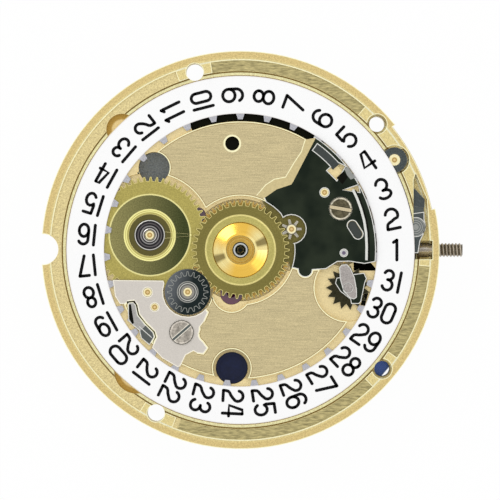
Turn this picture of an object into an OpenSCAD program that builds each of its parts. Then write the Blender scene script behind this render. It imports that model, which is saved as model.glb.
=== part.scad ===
/* [Main plate] */
// Diameter of the flange that carries the dial
flange_d = 26; // [25.9:0.1:26.4]
// Diameter that fits the case
casing_d = 25.6; // [25.4:0.1:25.8]
// Depth of the flange below the dial seat
flange_h = 0.45; // [0.35:0.05:0.6]
// Depth of the platform inside the calendar ring
platform_depth = 0.04; // [0.02:0.01:0.06]
// Radius of the platform inside the calendar ring
platform_r = 8.4; // [8.3:0.05:8.45]
// Depth of the plate's back web
web_depth = 1.3; // [1.26:0.02:1.34]
// Depth of the face that carries the bridges
plate_h = 2.98; // [2.96:0.02:3]
// Radius of the dial foot holes
foot_hole_r = 0.57; // [0.5:0.01:0.6]
// Radius of the dial screw holes
screw_hole_r = 0.51; // [0.45:0.01:0.55]
// Width of the band recessed in the rim
rim_recess_w = 0.6; // [0.4:0.05:0.65]
// Depth of the band recessed in the rim
rim_recess_h = 0.12; // [0.05:0.01:0.2]

/* [Calendar ring] */
// Outer radius of the calendar ring
ring_outer_r = 11.38; // [11.2:0.02:11.5]
// Width of the calendar ring's printed band
ring_band_w = 2.46; // [2.4:0.01:2.5]
// How far the ring's teeth reach inwards
ring_tooth_h = 0.38; // [0.3:0.02:0.42]
// Width of a ring tooth at its root
ring_tooth_w = 0.62; // [0.5:0.02:0.7]
// Number of days on the ring
ring_teeth = 31; // [30:1:32]
// Thickness of the ring
ring_t = 0.2; // [0.16:0.01:0.22]
// Thickness of the flat plates that hold the ring down
cover_t = 0.15; // [0.12:0.01:0.16]

/* [Motion works] */
// Tooth module of the hour wheel
hour_module = 0.147; // [0.145:0.001:0.148]
// Teeth of the hour wheel
hour_teeth = 42; // [40:1:43]
// Leaves of the minute pinion
minute_leaves = 7; // [7:1:8]
// Tooth module of the minute wheel
minute_module = 0.2; // [0.19:0.005:0.2]
// Teeth of the minute wheel
minute_teeth = 24; // [23:1:25]
// Leaves of the cannon pinion
cannon_leaves = 12; // [11:1:12]
// Direction from the centre to the minute wheel
minute_angle = 22.2; // [20:0.5:24]
// Outer radius of the hour wheel's pipe, where the hour hand sits
hour_pipe_r = 0.75; // [0.7:0.01:0.8]
// Height of the hour wheel's pipe above the dial seat
hour_pipe_h = 0.75; // [0.5:0.05:1]
// Outer radius of the cannon pinion, where the minute hand sits
cannon_r = 0.5; // [0.48:0.01:0.52]
// Height of the cannon pinion above the dial seat
cannon_h = 1.45; // [1.2:0.05:1.6]
// Bore radius of the cannon pinion
cannon_bore_r = 0.36; // [0.35:0.01:0.37]
// Thickness of the hour wheel
hour_t = 0.18; // [0.14:0.01:0.2]

/* [Calendar drive] */
// Teeth of the intermediate calendar wheel
inter_teeth = 18; // [17:1:18]
// Leaves of the intermediate calendar wheel's pinion
inter_leaves = 12; // [11:1:12]
// Teeth of the calendar driving wheel
driver_teeth = 56; // [54:1:56]
// Tooth module of the calendar driving wheel
driver_module = 0.1315; // [0.13:0.0005:0.132]
// Direction from the centre to the intermediate calendar wheel
inter_angle = 218.5; // [217:0.5:220]
// Direction from the intermediate wheel to the driving wheel
driver_angle = 123.7; // [123:0.1:124.5]
// Reach of the finger that moves the calendar ring
finger_reach = 2.75; // [2.65:0.01:2.76]

/* [Winding and setting] */
// Depth of the stem's axis below the dial seat
stem_depth = 1.8; // [1.78:0.01:1.82]
// Thread diameter of the stem
stem_thread_d = 0.9; // [0.85:0.01:0.95]
// Diameter of the stem inside the plate
stem_d = 0.84; // [0.8:0.01:0.9]
// How far the stem reaches past the flange
stem_reach = 1.55; // [1.2:0.05:3]
// How far the stem pulls out
stem_pull = 0.6; // [0.4:0.05:0.6]
// Radius of the winding pinion
winding_r = 1.2; // [1.15:0.01:1.2]
// Radius of the sliding pinion
sliding_r = 0.85; // [0.8:0.01:0.9]
// Teeth of the ratchet wheel
ratchet_teeth = 65; // [63:1:66]
// Teeth of the crown wheel
crown_teeth = 32; // [31:1:33]

/* [Going train] */
// Teeth of the barrel
barrel_teeth = 78; // [76:1:79]
// Tooth module of the barrel
barrel_module = 0.12; // [0.118:0.0005:0.121]
// Height of the barrel drum
drum_h = 0.92; // [0.86:0.02:0.92]
// Leaves of the great pinion
great_leaves = 12; // [11:1:12]
// Teeth of the great wheel
great_teeth = 72; // [70:1:72]
// Tooth module of the great wheel
great_module = 0.1; // [0.098:0.001:0.1]
// Direction from the barrel to the great wheel
great_angle = 172; // [171:1:174]
// Teeth of the third wheel
third_teeth = 75; // [74:1:76]
// Distance from the centre to the third wheel
third_reach = 3.6; // [3.58:0.01:3.62]
// Leaves of the third and the seconds pinion
train_leaves = 10; // [9:1:10]
// Teeth of the minute driving wheel
drive_teeth = 80; // [79:1:81]
// Teeth of the seconds wheel
seconds_teeth = 84; // [82:1:85]
// Leaves of the escape pinion
escape_leaves = 7; // [6:1:7]
// Teeth of the escape wheel
escape_teeth = 20; // [18:1:20]
// Tip radius of the escape wheel
escape_r = 1.9; // [1.8:0.05:1.95]
// Thickness of the train's wheels
wheel_t = 0.12; // [0.1:0.01:0.13]

/* [Balance] */
// Outer radius of the balance
balance_r = 3.75; // [3.5:0.05:3.8]
// Width of the balance's rim
balance_rim_w = 0.42; // [0.3:0.02:0.6]
// Height of the balance's rim
balance_rim_h = 0.18; // [0.14:0.01:0.2]
// Turns of the balance spring
spring_turns = 9; // [6:1:12]
// Space between the turns of the balance spring
spring_pitch = 0.16; // [0.14:0.01:0.18]

/* [Automatic winding] */
// Outer radius of the rotor
rotor_r = 12.45; // [12.3:0.05:12.5]
// Inner radius of the rotor's weight
weight_inner_r = 10.8; // [10.7:0.05:11.2]
// Angle that the rotor covers
rotor_span = 152; // [120:2:152]
// Direction of the rotor's weight at rest
rotor_angle = -38; // [-39:1:-37]
// How far the rotor's weight and its screw stand out behind its plate
weight_h = 0.26; // [0.2:0.01:0.3]
// Thickness of the rotor's plate
rotor_t = 0.18; // [0.14:0.01:0.2]
// Thickness of the bridges
bridge_t = 0.44; // [0.4:0.01:0.46]

/* [Hidden] */
$fn = 64;

// Clearances
fit = 0.02;        // a part pressed or seated in another
play = 0.03;       // a part that turns on or in another
gap = 0.08;        // a part that passes another
over = 0.01;       // a cut that runs past a face
side_gap = 0.12;   // a wheel and the wall of its pocket

// Points
function polar(r, a) = [r * cos(a), r * sin(a)];
function arc(c, r, a0, a1, n = 8) = [for (i = [0:n]) c + polar(r, a0 + (a1 - a0) * i / n)];
function angle_to(p, q) = atan2(q[1] - p[1], q[0] - p[0]);
// Where a circle about p meets a circle about q, on the left (1) or right (-1) of the way from p to q
function meet(p, rp, q, rq, side) =
  let (d = norm(q - p), along = (rp * rp - rq * rq + d * d) / (2 * d))
  let (u = (q - p) / d, across = sqrt(max(0, rp * rp - along * along)))
  p + along * u + side * across * [-u[1], u[0]];
function pitch_r(teeth, m) = teeth * m / 2;
// The direction of a tooth of wheel 2 that meshes with wheel 1, whose tooth points along phase
function mesh_phase(teeth_1, phase, teeth_2, dir) = dir + 180 + (180 - (phase - dir) * teeth_1) / teeth_2;

// Depths on the dial side, all as heights below the dial seat at zero
z_platform = -platform_depth;
z_cover = z_platform - cover_t;
z_ring = z_cover - play;
z_ring_floor = z_ring - ring_t - play;
z_hour = z_cover - 0.05;
z_hour_floor = z_hour - hour_t - 0.04;
z_driver = z_ring - ring_t - 0.12;
driver_t = 0.16;
z_driver_floor = z_driver - driver_t - gap;
z_minute = -0.66;
minute_t = 0.18;
z_minute_floor = z_minute - minute_t - 0.05;
z_cannon = -0.6;
cannon_t = 0.3;
z_drive = -0.95;
drive_t = 0.1;
z_drive_floor = z_drive - drive_t - 0.05;

// Depths on the train side
z_web = -web_depth;
z_great = z_web - gap;
z_third = z_great - wheel_t - gap;
z_drum = z_third - wheel_t - gap;
z_drum_back = z_drum - drum_h;
drum_tooth_t = 0.28;
z_escape = z_drum_back + 0.2;
z_seconds = z_drum_back - 0.1;
z_plate_back = -plate_h;
z_bridge_back = z_plate_back - bridge_t;
z_balance_floor = z_escape - wheel_t - 0.06;
z_ratchet = z_plate_back - 0.1;
ratchet_t = 0.22;
z_balance = z_plate_back + 0.08;
z_spring = z_balance - balance_rim_h - 0.09;
spring_t = 0.1;
z_cock = z_plate_back - 0.47;
cock_t = 0.38;
z_reverse = z_bridge_back - 0.1;
reverse_t = 0.2;
z_auto = z_reverse - reverse_t - gap;
auto_t = 0.28;
z_rotor = z_auto - auto_t - gap;
z_back = z_rotor - rotor_t - weight_h;
z_weight = z_bridge_back - gap;
z_stem = -stem_depth;

// Places on the dial side
centre = [0, 0];
ring_inner_r = ring_outer_r - ring_band_w;
minute_at = polar(pitch_r(hour_teeth + minute_leaves, hour_module), minute_angle);
inter_at = polar(pitch_r(hour_teeth + inter_teeth, hour_module), inter_angle);
driver_at = inter_at + polar(pitch_r(inter_leaves + driver_teeth, driver_module), driver_angle);
setting_at = minute_at + polar(pitch_r(minute_teeth + 10, minute_module) + 0.02, -18);
star_at = [7.03, -2.47];
ring_side_gap = 0.05;
ring_seat_r = ring_outer_r + 0.32;
inter_tip_r = pitch_r(inter_teeth, hour_module) + hour_module;
hour_tip_r = pitch_r(hour_teeth, hour_module) + 0.8 * hour_module;
hour_recess_r = hour_tip_r + 0.35;
driver_tip_r = pitch_r(driver_teeth, driver_module) + driver_module;

// Places of the train
barrel_at = [4.6, 5.1];
escape_at = [-0.59, -2.82];
balance_at = [-0.57, -7.71];
great_at = barrel_at + polar(pitch_r(barrel_teeth + great_leaves, barrel_module), great_angle);
great_reach = pitch_r(great_teeth + train_leaves, great_module);
third_at = meet(centre, third_reach, great_at, great_reach, 1);
third_module = 2 * third_reach / (third_teeth + train_leaves);
drive_module = 2 * third_reach / (drive_teeth + train_leaves);
escape_reach = norm(escape_at);
seconds_module = 2 * escape_reach / (seconds_teeth + escape_leaves);
pallet_at = escape_at + (balance_at - escape_at) * 0.5;
barrel_r = pitch_r(barrel_teeth, barrel_module);
drum_r = barrel_r - 0.3;
drum_bore_r = drum_r - 0.35;
core_r = 0.9;
mainspring_turns = 8;
mainspring_t = 0.12;
mainspring_pitch = (drum_bore_r - gap - mainspring_t - core_r) / mainspring_turns;
winding_x = [9.3, 10.4];
sliding_x = [8, 9.1];
channel_x = sliding_x[0] - 0.75 * stem_pull - 0.15;
crown_r = 2;
crown_at = [(winding_x[0] + winding_x[1]) / 2 - crown_r, 0];
ratchet_module = 2 * norm(crown_at - barrel_at) / (ratchet_teeth + crown_teeth);

// Places of the automatic winding
auto_module = 0.1;
rotor_gear_teeth = 36;
reverse_teeth = 30;
reduction_teeth = 30;
reduction_leaves = 10;
reverse_a_at = polar(pitch_r(rotor_gear_teeth + reverse_teeth, auto_module), 60);
reverse_b_at = reverse_a_at + polar(pitch_r(2 * reverse_teeth, auto_module), 130);
ratchet_r = pitch_r(ratchet_teeth, ratchet_module);
reduction_at = meet(barrel_at, ratchet_r + pitch_r(reduction_leaves, ratchet_module),
  reverse_b_at, pitch_r(reverse_teeth + reduction_teeth, auto_module), -1);
bearing_r = 1.5;

// Small parts
pivot_r = 0.07;
tube_r = cannon_bore_r - play;
seconds_arbor_r = 0.15;
arbor_r = 0.39;
crown_core_r = 0.8;
square_w = 0.5;
hub_r = 1.15;
hour_hub_r = 0.92;
minute_seat_r = cannon_r - 0.03;
minute_seat_l = 0.5;
cannon_body_h = 0.4;
stem_taper_l = 0.55;
bridge_jewel_r = 0.4;
stud_root = 0.25;
z_star_floor = -0.66;
z_star = z_ring - ring_t - 0.03;
z_lever = z_ring_floor - 0.05;
lever_t = 0.22;
lever_pivot_r = 0.3;
lever_root = 0.35;
z_keyless_floor = z_ring_floor - 0.54;
lever_at = [11.46, 1.5];
yoke_at = [10.07, 5.89];
groove_x = 8.55;
click_at = [4.16, -0.35];
click_dir = 95;
click_r = 0.1;
fork_l = 1.95;
spring_outer = 0.4 + spring_pitch * spring_turns;
cock_screw = [4.6, -7.9];
pallet_screws = [[-2.7, -5.5], [1.5, -5.5]];
pallet_bridge_t = 0.15;
click_l = 1.18;
frame_screws = [[-5.3, 7.4], [-5.6, -2.2], [-0.3, 10.05], [2.4, -2.9], [7.4, -2.95], [1.8, 10.2], [10.55, 4.8]];
auto_screws = [[-4.2, 3.6], [3, -1], [-1.6, 9]];
stop_at = [3.6, -4.9];
stop_pivot_r = 0.15;
stop_tip_l = 2.5;
stop_dir = angle_to(stop_at, balance_at) + 50;

// The stop lever's line, with its tip lengthened by extra
function stop_line(extra = 0) = [[6.3, -2], stop_at, stop_at + polar(stop_tip_l + extra, stop_dir)];

// The outline of a strip of width w along points
function strip(p, w) =
  let (n = len(p) - 1)
  let (side = [for (i = [0:n]) let (d = p[min(i + 1, n)] - p[max(i - 1, 0)]) [-d[1], d[0]] / norm(d)])
  concat([for (i = [0:n]) p[i] - side[i] * w / 2], [for (i = [n:-1:0]) p[i] + side[i] * w / 2]);

// Directions of the teeth at rest
hour_phase = 0;
minute_pinion_phase = mesh_phase(hour_teeth, hour_phase, minute_leaves, minute_angle);
minute_phase = 0;
cannon_phase = mesh_phase(minute_teeth, minute_phase, cannon_leaves, minute_angle + 180);
setting_phase = mesh_phase(minute_teeth, minute_phase, 10, angle_to(minute_at, setting_at));
inter_phase = mesh_phase(hour_teeth, hour_phase, inter_teeth, inter_angle);
inter_pinion_phase = 0;
driver_phase = mesh_phase(inter_leaves, inter_pinion_phase, driver_teeth, driver_angle);
great_pinion_phase = mesh_phase(barrel_teeth, 0, great_leaves, great_angle);
third_pinion_phase = mesh_phase(great_teeth, 0, train_leaves, angle_to(great_at, third_at));
seconds_pinion_phase = mesh_phase(third_teeth, 0, train_leaves, angle_to(third_at, centre));
drive_phase = mesh_phase(train_leaves, 0, drive_teeth, angle_to(third_at, centre));
escape_pinion_phase = mesh_phase(seconds_teeth, 0, escape_leaves, angle_to(centre, escape_at));
ratchet_phase = mesh_phase(crown_teeth, 0, ratchet_teeth, angle_to(crown_at, barrel_at));
reverse_a_phase = mesh_phase(rotor_gear_teeth, 0, reverse_teeth, 60);
reverse_b_phase = mesh_phase(reverse_teeth, reverse_a_phase, reverse_teeth, 130);
reduction_phase = mesh_phase(reverse_teeth, reverse_b_phase, reduction_teeth,
  angle_to(reverse_b_at, reduction_at));
reduction_pinion_phase = mesh_phase(ratchet_teeth, ratchet_phase, reduction_leaves,
  angle_to(barrel_at, reduction_at));

// Colours
brass = [0.87, 0.78, 0.55];
wheel_brass = [0.56, 0.53, 0.3];
train_brass = [0.83, 0.68, 0.36];
steel = [0.62, 0.63, 0.65];
dark_steel = [0.3, 0.33, 0.35];
black_steel = [0.14, 0.17, 0.17];
satin_steel = [0.78, 0.76, 0.73];
ring_white = [0.97, 0.97, 0.97];
ruby = [0.55, 0.12, 0.35];

// A slab from the height top down by t
module slab(top, t) {
  translate([0, 0, top - t]) linear_extrude(t) children();
}

// A round bar from the height top down to bottom
module bar(r, top, bottom) {
  translate([0, 0, bottom]) cylinder(r = r, h = top - bottom);
}

module at(p) {
  translate([p[0], p[1], 0]) children();
}

module ring_2d(outer, inner) {
  difference() {
    circle(outer);
    circle(inner);
  }
}

// Teeth of a watch wheel: a flank, a narrow crest and a flank
module gear_2d(teeth, m, phase = 0, crest = 0.12, addendum = 1) {
  root = pitch_r(teeth, m) - 1.2 * m;
  tip = pitch_r(teeth, m) + addendum * m;
  polygon([for (i = [0:teeth - 1], k = [[root, -0.3], [tip, -crest], [tip, crest], [root, 0.3]])
    polar(k[0], phase + (i + k[1]) * 360 / teeth)]);
}

// The windows between the arms of a wheel
module windows_2d(inner, outer, arms, arm_w, turn = 0) {
  for (i = [0:arms - 1]) {
    from = turn + i * 360 / arms;
    near = asin(min(0.9, arm_w / 2 / inner));
    far = asin(arm_w / 2 / outer);
    polygon(concat(arc(centre, outer, from + far, from + 360 / arms - far, 7),
      arc(centre, inner, from + 360 / arms - near, from + near, 5)));
  }
}

// An arbor with a pivot at each end
module arbor(r, top, bottom, pivot_r = 0.07, pivot_l = 0.16) {
  bar(r, top, bottom);
  bar(pivot_r, top + pivot_l, top);
  bar(pivot_r, bottom, bottom - pivot_l);
}

// A ring sector, from angle a0 to a1
module sector_2d(inner, outer, a0, a1, n = 24) {
  polygon(concat(arc(centre, outer, a0, a1, n), arc(centre, inner, a1, a0, n)));
}

// A cheese-head screw with its slot, head upwards at the height top
module screw(r, top, head_t, shank_r, shank_l, slot_angle = 0) {
  difference() {
    union() {
      bar(r, top, top - head_t);
      bar(shank_r, top - head_t, top - head_t - shank_l);
    }
    translate([0, 0, top]) rotate(slot_angle) cube([2 * r + 1, 0.24 * r, head_t], center = true);
  }
}

// A cheese-head screw that looks to the back
module back_screw(r, back, head_t, shank_r, shank_l, slot_angle = 0) {
  mirror([0, 0, 1]) screw(r, -back, head_t, shank_r, shank_l, slot_angle);
}

// Outline of the polished plate over the right half of the ring's teeth
date_plate_r = ring_inner_r - 0.07;
hour_edge_r = hour_recess_r - fit;
lobe_r = pitch_r(minute_leaves, hour_module) + hour_module + 0.27;
date_plate_edge = concat(
  arc(centre, date_plate_r, -5, 57, 20),
  [[3.32, 4.4], [2.33, 4.11], [1.51, 3.5]],
  arc(centre, hour_edge_r, 62, 42, 4),
  arc(minute_at, lobe_r, 128, -84, 12),
  arc(centre, hour_edge_r, 6, -19, 5),
  [[3.75, -1.25]], arc([4.23, -1.3], 0.48, 180, 360, 8),
  [[5.58, -1.24], [6.33, -0.77], [7.1, -0.75], [8.1, -0.9]]);
date_screw_at = [6.54, 2.7];

// Studs of the dial side: place, radius, foot, top, radius of the head
studs = [
  [minute_at, 0.2, z_minute_floor, z_platform - 0.06, 0.29],
  [inter_at, 0.28, z_driver_floor, z_hour + 0.2, 0],
  [driver_at, 0.275, z_driver_floor, z_driver + 0.38, 0],
  [setting_at, 0.25, -1.2, z_minute + 0.06, 0],
  [star_at, 0.25, z_star_floor, z_platform - 0.02, 0],
  [[5.49, 3.76], 0.26, z_cover, z_platform + 0.06, 0],
  [[6.75, -0.19], 0.2, z_cover, z_platform + 0.02, 0],
  [[-6.07, -2.76], 0.28, z_cover, z_platform, 0],
  [[-5.61, -3.73], 0.24, z_cover, z_platform + 0.02, 0],
  [yoke_at, 0.37, z_keyless_floor, z_lever + 0.02, 0]];

// Outline of the satin bridge in the lower left
date_bridge_edge = concat(
  [[-8.34, -1.96], [-5.04, -2.0]],
  arc(inter_at, inter_tip_r + 0.15, 160, 320, 10),
  [[-2.25, -3.93], [-2.13, -4.07], [-2.39, -4.66], [-2.68, -5.05]],
  arc([-2.2, -5.5], 0.55, 150, 240, 4),
  [[-2.16, -6.4], [-2.43, -6.77], [-2.84, -6.72], [-3.07, -6.59], [-3.58, -6.86], [-3.94, -7.6],
   [-4.13, -7.64], [-5.13, -7.05], [-5.78, -6.36], [-5.46, -5.67], [-5.59, -5.3], [-6.14, -4.75],
   [-6.6, -4.2], [-6.74, -3.56], [-6.97, -3.29], [-7.33, -3.33], [-7.52, -3.52], [-7.88, -3.52],
   [-8.2, -3.01]]);
date_bridge_screw_at = [-3.85, -5.38];
jumper_edge = [[-7.33, -3.45], [-6.97, -3.42], [-6.84, -3.65], [-6.72, -4.25], [-6.25, -4.86],
  [-5.7, -5.38], [-5.62, -5.68], [-5.95, -6.22], [-6.5, -5.75], [-6.62, -5.25], [-7.02, -4.92],
  [-7.3, -4.66], [-7.36, -4.1]];

// Rim holes as direction and distance from the centre
foot_holes = [[104.4, 12.0], [242.6, 12.0]];
screw_holes = [[42.7, 12.13], [-40, 12.07]];
rim_pockets = [[49, 99], [110, 238], [-34.5, -5], [-111, -46]];
barrel_pocket_r = barrel_r + barrel_module + side_gap;
great_pocket_r = pitch_r(great_teeth, great_module) + great_module + side_gap;
third_pocket_r = pitch_r(third_teeth, third_module) + third_module + side_gap;
seconds_pocket_r = pitch_r(seconds_teeth, seconds_module) + seconds_module + side_gap;
balance_pocket_r = balance_r + 0.2;
jewel_r = 0.5;
pallet_dir = angle_to(escape_at, balance_at);

module main_plate_solid() {
  difference() {
    union() {
      bar(flange_d / 2, 0, -flange_h);
      bar(casing_d / 2, -flange_h, z_plate_back);
    }
    // Flange cut back beside the stem, and the locating notch opposite
    slab(over, flange_h + over) sector_2d(flange_d / 2 - 0.23, flange_d, 12, 39, 12);
    at([-flange_d / 2 + 0.1, 0.05]) bar(1, over, z_plate_back - over);
    // Recessed bands in the rim
    for (p = rim_pockets)
      slab(over, rim_recess_h + over)
        sector_2d(ring_seat_r - over, ring_seat_r + rim_recess_w + 0.1, p[0], p[1], ceil((p[1] - p[0]) / 3.5));
    // Seat of the calendar ring, with two finger notches
    difference() {
      union() {
        bar(ring_outer_r + ring_side_gap, over, z_ring_floor);
        bar(ring_seat_r, over, z_ring - 0.02);
        at(polar(11.04, 134.5)) bar(1.03, over, z_ring_floor);
        at(polar(10.45, 229.4)) bar(1.45, over, z_ring_floor);
      }
      bar(platform_r, 1, z_ring_floor - 1);
    }
    slab(z_ring_floor + over, 0.6) sector_2d(platform_r + 0.02, ring_inner_r + 0.1, 52, 112, 16);
    // Platform and the pockets in it
    bar(platform_r + over, over, z_platform);
    slab(over, -z_cover + over) polygon(date_plate_edge);
    slab(over, -z_cover + over) polygon(date_bridge_edge);
    slab(over, -z_cover + over) polygon(jumper_edge);
    bar(hour_recess_r, over, z_hour_floor);
    at(driver_at) bar(driver_tip_r + 0.25, over, z_driver_floor);
    at(inter_at) bar(inter_tip_r + 0.15, over, z_driver_floor);
    at(minute_at) bar(pitch_r(minute_teeth, minute_module) + minute_module + side_gap, z_cover + over,
      z_minute_floor);
    at(minute_at) bar(lobe_r + fit, over, z_minute_floor);
    bar(pitch_r(drive_teeth, drive_module) + drive_module + 0.06, z_hour_floor + over, z_drive_floor);
    at(setting_at) bar(1.35, z_cover + over, -1.2);
    at(star_at) bar(2.2, over, z_star_floor);
    at(escape_at) bar(1.22, over, -0.52);
    // Deep openings seen from the dial side
    at(balance_at) bar(1.05, over, -1.6);
    at(balance_at) translate([0, 0, z_platform - 0.19]) cylinder(r1 = 1.03, r2 = 1.25, h = 0.2);
    at([-0.54, 6.96]) bar(0.46, over, z_web - over);
    at([-5.64, 5.38]) bar(1.02, over, z_plate_back - over);
    // Keyless works: pocket under the ring, channel of the stem
    slab(z_ring_floor + over, 0.55)
      polygon([[9.0, 6.6], [10.9, 6.6], [11.6, 4.9], [12.18, 3.3], [12.3, -0.65], [7.9, -0.65], [7.3, 0.61],
        [7.3, 2.2], [8.7, 5.2]]);
    slab(over, 0.7) polygon([[11.3, 4.6], [11.45, 5.0], [12.18, 3.3], [12.35, 0.61], [11.3, 0.61]]);
    slab(over, 0.6) at([10.07, 5.89]) circle(0.95);
    translate([channel_x, -1.35, z_plate_back - over]) cube([11.5 - channel_x, 2.7, plate_h - 0.58]);
    translate([11.3, -0.61, z_stem - 0.5]) cube([12.54 - 11.3, 1.22, 3]);
    turned(channel_x, 12.4, stem_d / 2 + play);
    turned(12.4 - over, flange_d, stem_thread_d / 2 + play);
    at(lever_at) bar(lever_pivot_r + play, z_keyless_floor + over, z_keyless_floor - lever_root - play);
    // Pockets of the train, from the back
    at(barrel_at) bar(barrel_pocket_r, z_drum + gap, z_plate_back - over);
    at(great_at) bar(great_pocket_r, z_web, z_plate_back - over);
    at(third_at) bar(third_pocket_r, z_web, z_plate_back - over);
    bar(seconds_pocket_r, z_web, z_plate_back - over);
    at(escape_at) bar(escape_r + side_gap, z_escape + gap, z_plate_back - over);
    at(balance_at) bar(balance_pocket_r, z_balance_floor, z_plate_back - over);
    at(pallet_at) bar(1.5, z_escape + gap, z_plate_back - over);
    at(balance_at) bar(1.3, z_escape + gap, z_plate_back - over);
    // Holes for jewels, arbors, screws and the dial's feet
    at(great_at) bar(jewel_r, z_web + 0.4, z_web - over);
    at(third_at) bar(jewel_r, 0, z_web - over);
    at(escape_at) bar(0.75, z_platform, z_escape + gap - over);
    at(pallet_at) bar(0.4, -1.6, z_escape + gap - over);
    at(balance_at) bar(0.5, -1.6 + over, z_escape + gap - over);
    at(barrel_at) bar(arbor_r + play, z_web + 0.2, z_drum - over);
    for (h = foot_holes) at(polar(h[1], h[0])) bar(foot_hole_r, over, z_plate_back - over);
    for (h = screw_holes) at(polar(h[1], h[0])) {
      bar(screw_hole_r, over, z_plate_back - over);
      translate([0, 0, -0.14]) cylinder(r1 = screw_hole_r - 0.02, r2 = screw_hole_r + 0.15, h = 0.15);
    }
    at(date_screw_at) bar(0.32, 0, -1.2);
    at(date_bridge_screw_at) bar(0.32, 0, -1.2);
    for (s = studs) at(s[0]) bar(s[1], s[2] + over, s[2] - stud_root);
    for (p = frame_screws) at(p) bar(0.3 + fit, z_plate_back + 1, z_plate_back - over);
    at(cock_screw) bar(0.4 + fit, z_plate_back + 1, z_plate_back - over);
    for (p = pallet_screws) at(p) bar(0.2 + fit, z_balance_floor + 0.5, z_balance_floor - over);
    at(stop_at) bar(0.7, z_plate_back + 0.4, z_plate_back - over);
    at(stop_at) bar(stop_pivot_r + play, z_plate_back + 0.8, z_plate_back + 0.4 - over);
    slab(z_plate_back + 0.4, 0.4 + over) polygon(strip(stop_line(0.35), 1.1));
  }
}

// The plate with the tube that guides the seconds arbor
module main_plate() {
  color(brass) difference() {
    union() {
      main_plate_solid();
      bar(tube_r, cannon_body_h, z_web);
    }
    bar(seconds_arbor_r + 0.05, 1, z_web - over);
  }
}

module plate_jewels() {
  color(ruby) {
    at(escape_at) difference() {
      bar(0.75 - fit, -0.5, -0.9);
      bar(pivot_r + play, 0, -1);
      translate([0, 0, -0.2]) sphere(0.42);
    }
    at(great_at) jewel(z_web + 0.4, 0.35);
    at(third_at) jewel(z_driver_floor - 0.01, 0.12);
    at(pallet_at) jewel(-1.6 - fit, 0.3, 0.4 - fit);
  }
}

// A jewel hole: a ring whose bore takes a pivot
module jewel(top, t, r = jewel_r - fit) {
  difference() {
    bar(r, top, top - t);
    bar(pivot_r + play, top + over, top - t - over);
  }
}

// The lower and upper blocks that hold the balance staff's pivots
module shock_settings() {
  color(black_steel) {
    at(balance_at) difference() {
      bar(1.05 - fit, -0.72, -1.6 + over);
      bar(pivot_r + play, -1.2, -1.7);
      bar(0.8, 0, -0.8);
    }
    at(balance_at) difference() {
      bar(0.8 - fit, z_cock, z_cock - cock_t);
      bar(pivot_r + play, z_cock + over, z_cock - 0.25);
      bar(0.6, z_cock - cock_t + 0.06, z_cock - cock_t - over);
    }
  }
}

// Studs that carry the dial side's wheels: place, radius, foot, top, head radius
module wheel_studs() {
  color(brass) {
    for (s = studs) at(s[0]) {
      bar(s[1], s[3], s[2] - stud_root);
      if (s[4] > 0) bar(s[4], s[3] + 0.05, s[3]);
    }
  }
}

// The ring with the days, toothed inside
module date_ring() {
  color(ring_white) slab(z_ring, ring_t) {
    ring_2d(ring_outer_r, ring_inner_r);
    for (i = [0:ring_teeth - 1]) rotate(8.8 + i * 360 / ring_teeth)
      polygon([[ring_inner_r + 0.1, -ring_tooth_w / 2], [ring_inner_r + 0.1, ring_tooth_w / 2],
        [ring_inner_r - ring_tooth_h, ring_tooth_w / 4], [ring_inner_r - ring_tooth_h, -ring_tooth_w / 4]]);
  }
}

module date_plate() {
  color(black_steel) slab(z_platform, cover_t) difference() {
    polygon(date_plate_edge);
    at([7.49, 1.33]) rotate(-57) {
      square([0.68, 0.62], center = true);
      for (x = [-0.34, 0.34]) translate([x, 0]) circle(0.31);
    }
    at(date_screw_at) circle(0.34);
    for (s = [studs[5], studs[6]]) at(s[0]) circle(s[1] + fit);
    polygon(concat(arc(centre, 8.55, 41, 54, 6), arc(centre, 8.05, 54, 41, 6)));
    polygon([[5.65, 5.19], [6.29, 5.74], [6.84, 5.47], [6.29, 4.55]]);
    polygon([[6.68, 3.92], [7.78, 3.78], [7.69, 4.24], [7.14, 4.05]]);
  }
}

module date_plate_screw() {
  color(steel) at(date_screw_at) screw(0.77, z_platform + 0.14, 0.14, 0.3, 0.9, -10);
}

module date_bridge() {
  color(satin_steel) slab(z_platform, cover_t) difference() {
    polygon(date_bridge_edge);
    at(date_bridge_screw_at) circle(0.34);
    at([-3.44, -7.18]) circle(0.2);
    for (s = [studs[7], studs[8]]) at(s[0]) circle(s[1] + fit);
  }
}

module date_bridge_screw() {
  color(steel) at(date_bridge_screw_at) screw(0.8, z_platform + 0.14, 0.14, 0.3, 0.9, 41);
}

// The bent spring whose beak holds the calendar ring between two teeth
module date_jumper() {
  color(steel) {
    slab(z_platform - over, cover_t - 2 * over) polygon(jumper_edge);
    at(polar(8.62, 8.8 + 17.5 * 360 / ring_teeth)) bar(0.1, z_platform - cover_t + over, z_ring - ring_t);
  }
}

module date_driving_wheel() {
  color(wheel_brass) at(driver_at) difference() {
    union() {
      slab(z_driver, driver_t) gear_2d(driver_teeth, driver_module, driver_phase);
      bar(2.65, z_driver + 0.06, z_driver);
      bar(1.71, z_driver + 0.12, z_driver);
      bar(1.38, z_driver + 0.2, z_driver);
      bar(0.95, z_driver + 0.3, z_driver);
      slab(z_ring - 0.02, 0.18) polygon([[0.5, -0.25], [finger_reach, -0.06], [finger_reach, 0.06], [0.5, 0.25]]);
      slab(z_ring - 0.02, z_ring - 0.02 - z_driver) polygon([[0.5, -0.25], [0.95, -0.2], [0.95, 0.2], [0.5, 0.25]]);
    }
    bar(studs[2][1] + play, 1, -2);
  }
}

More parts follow.
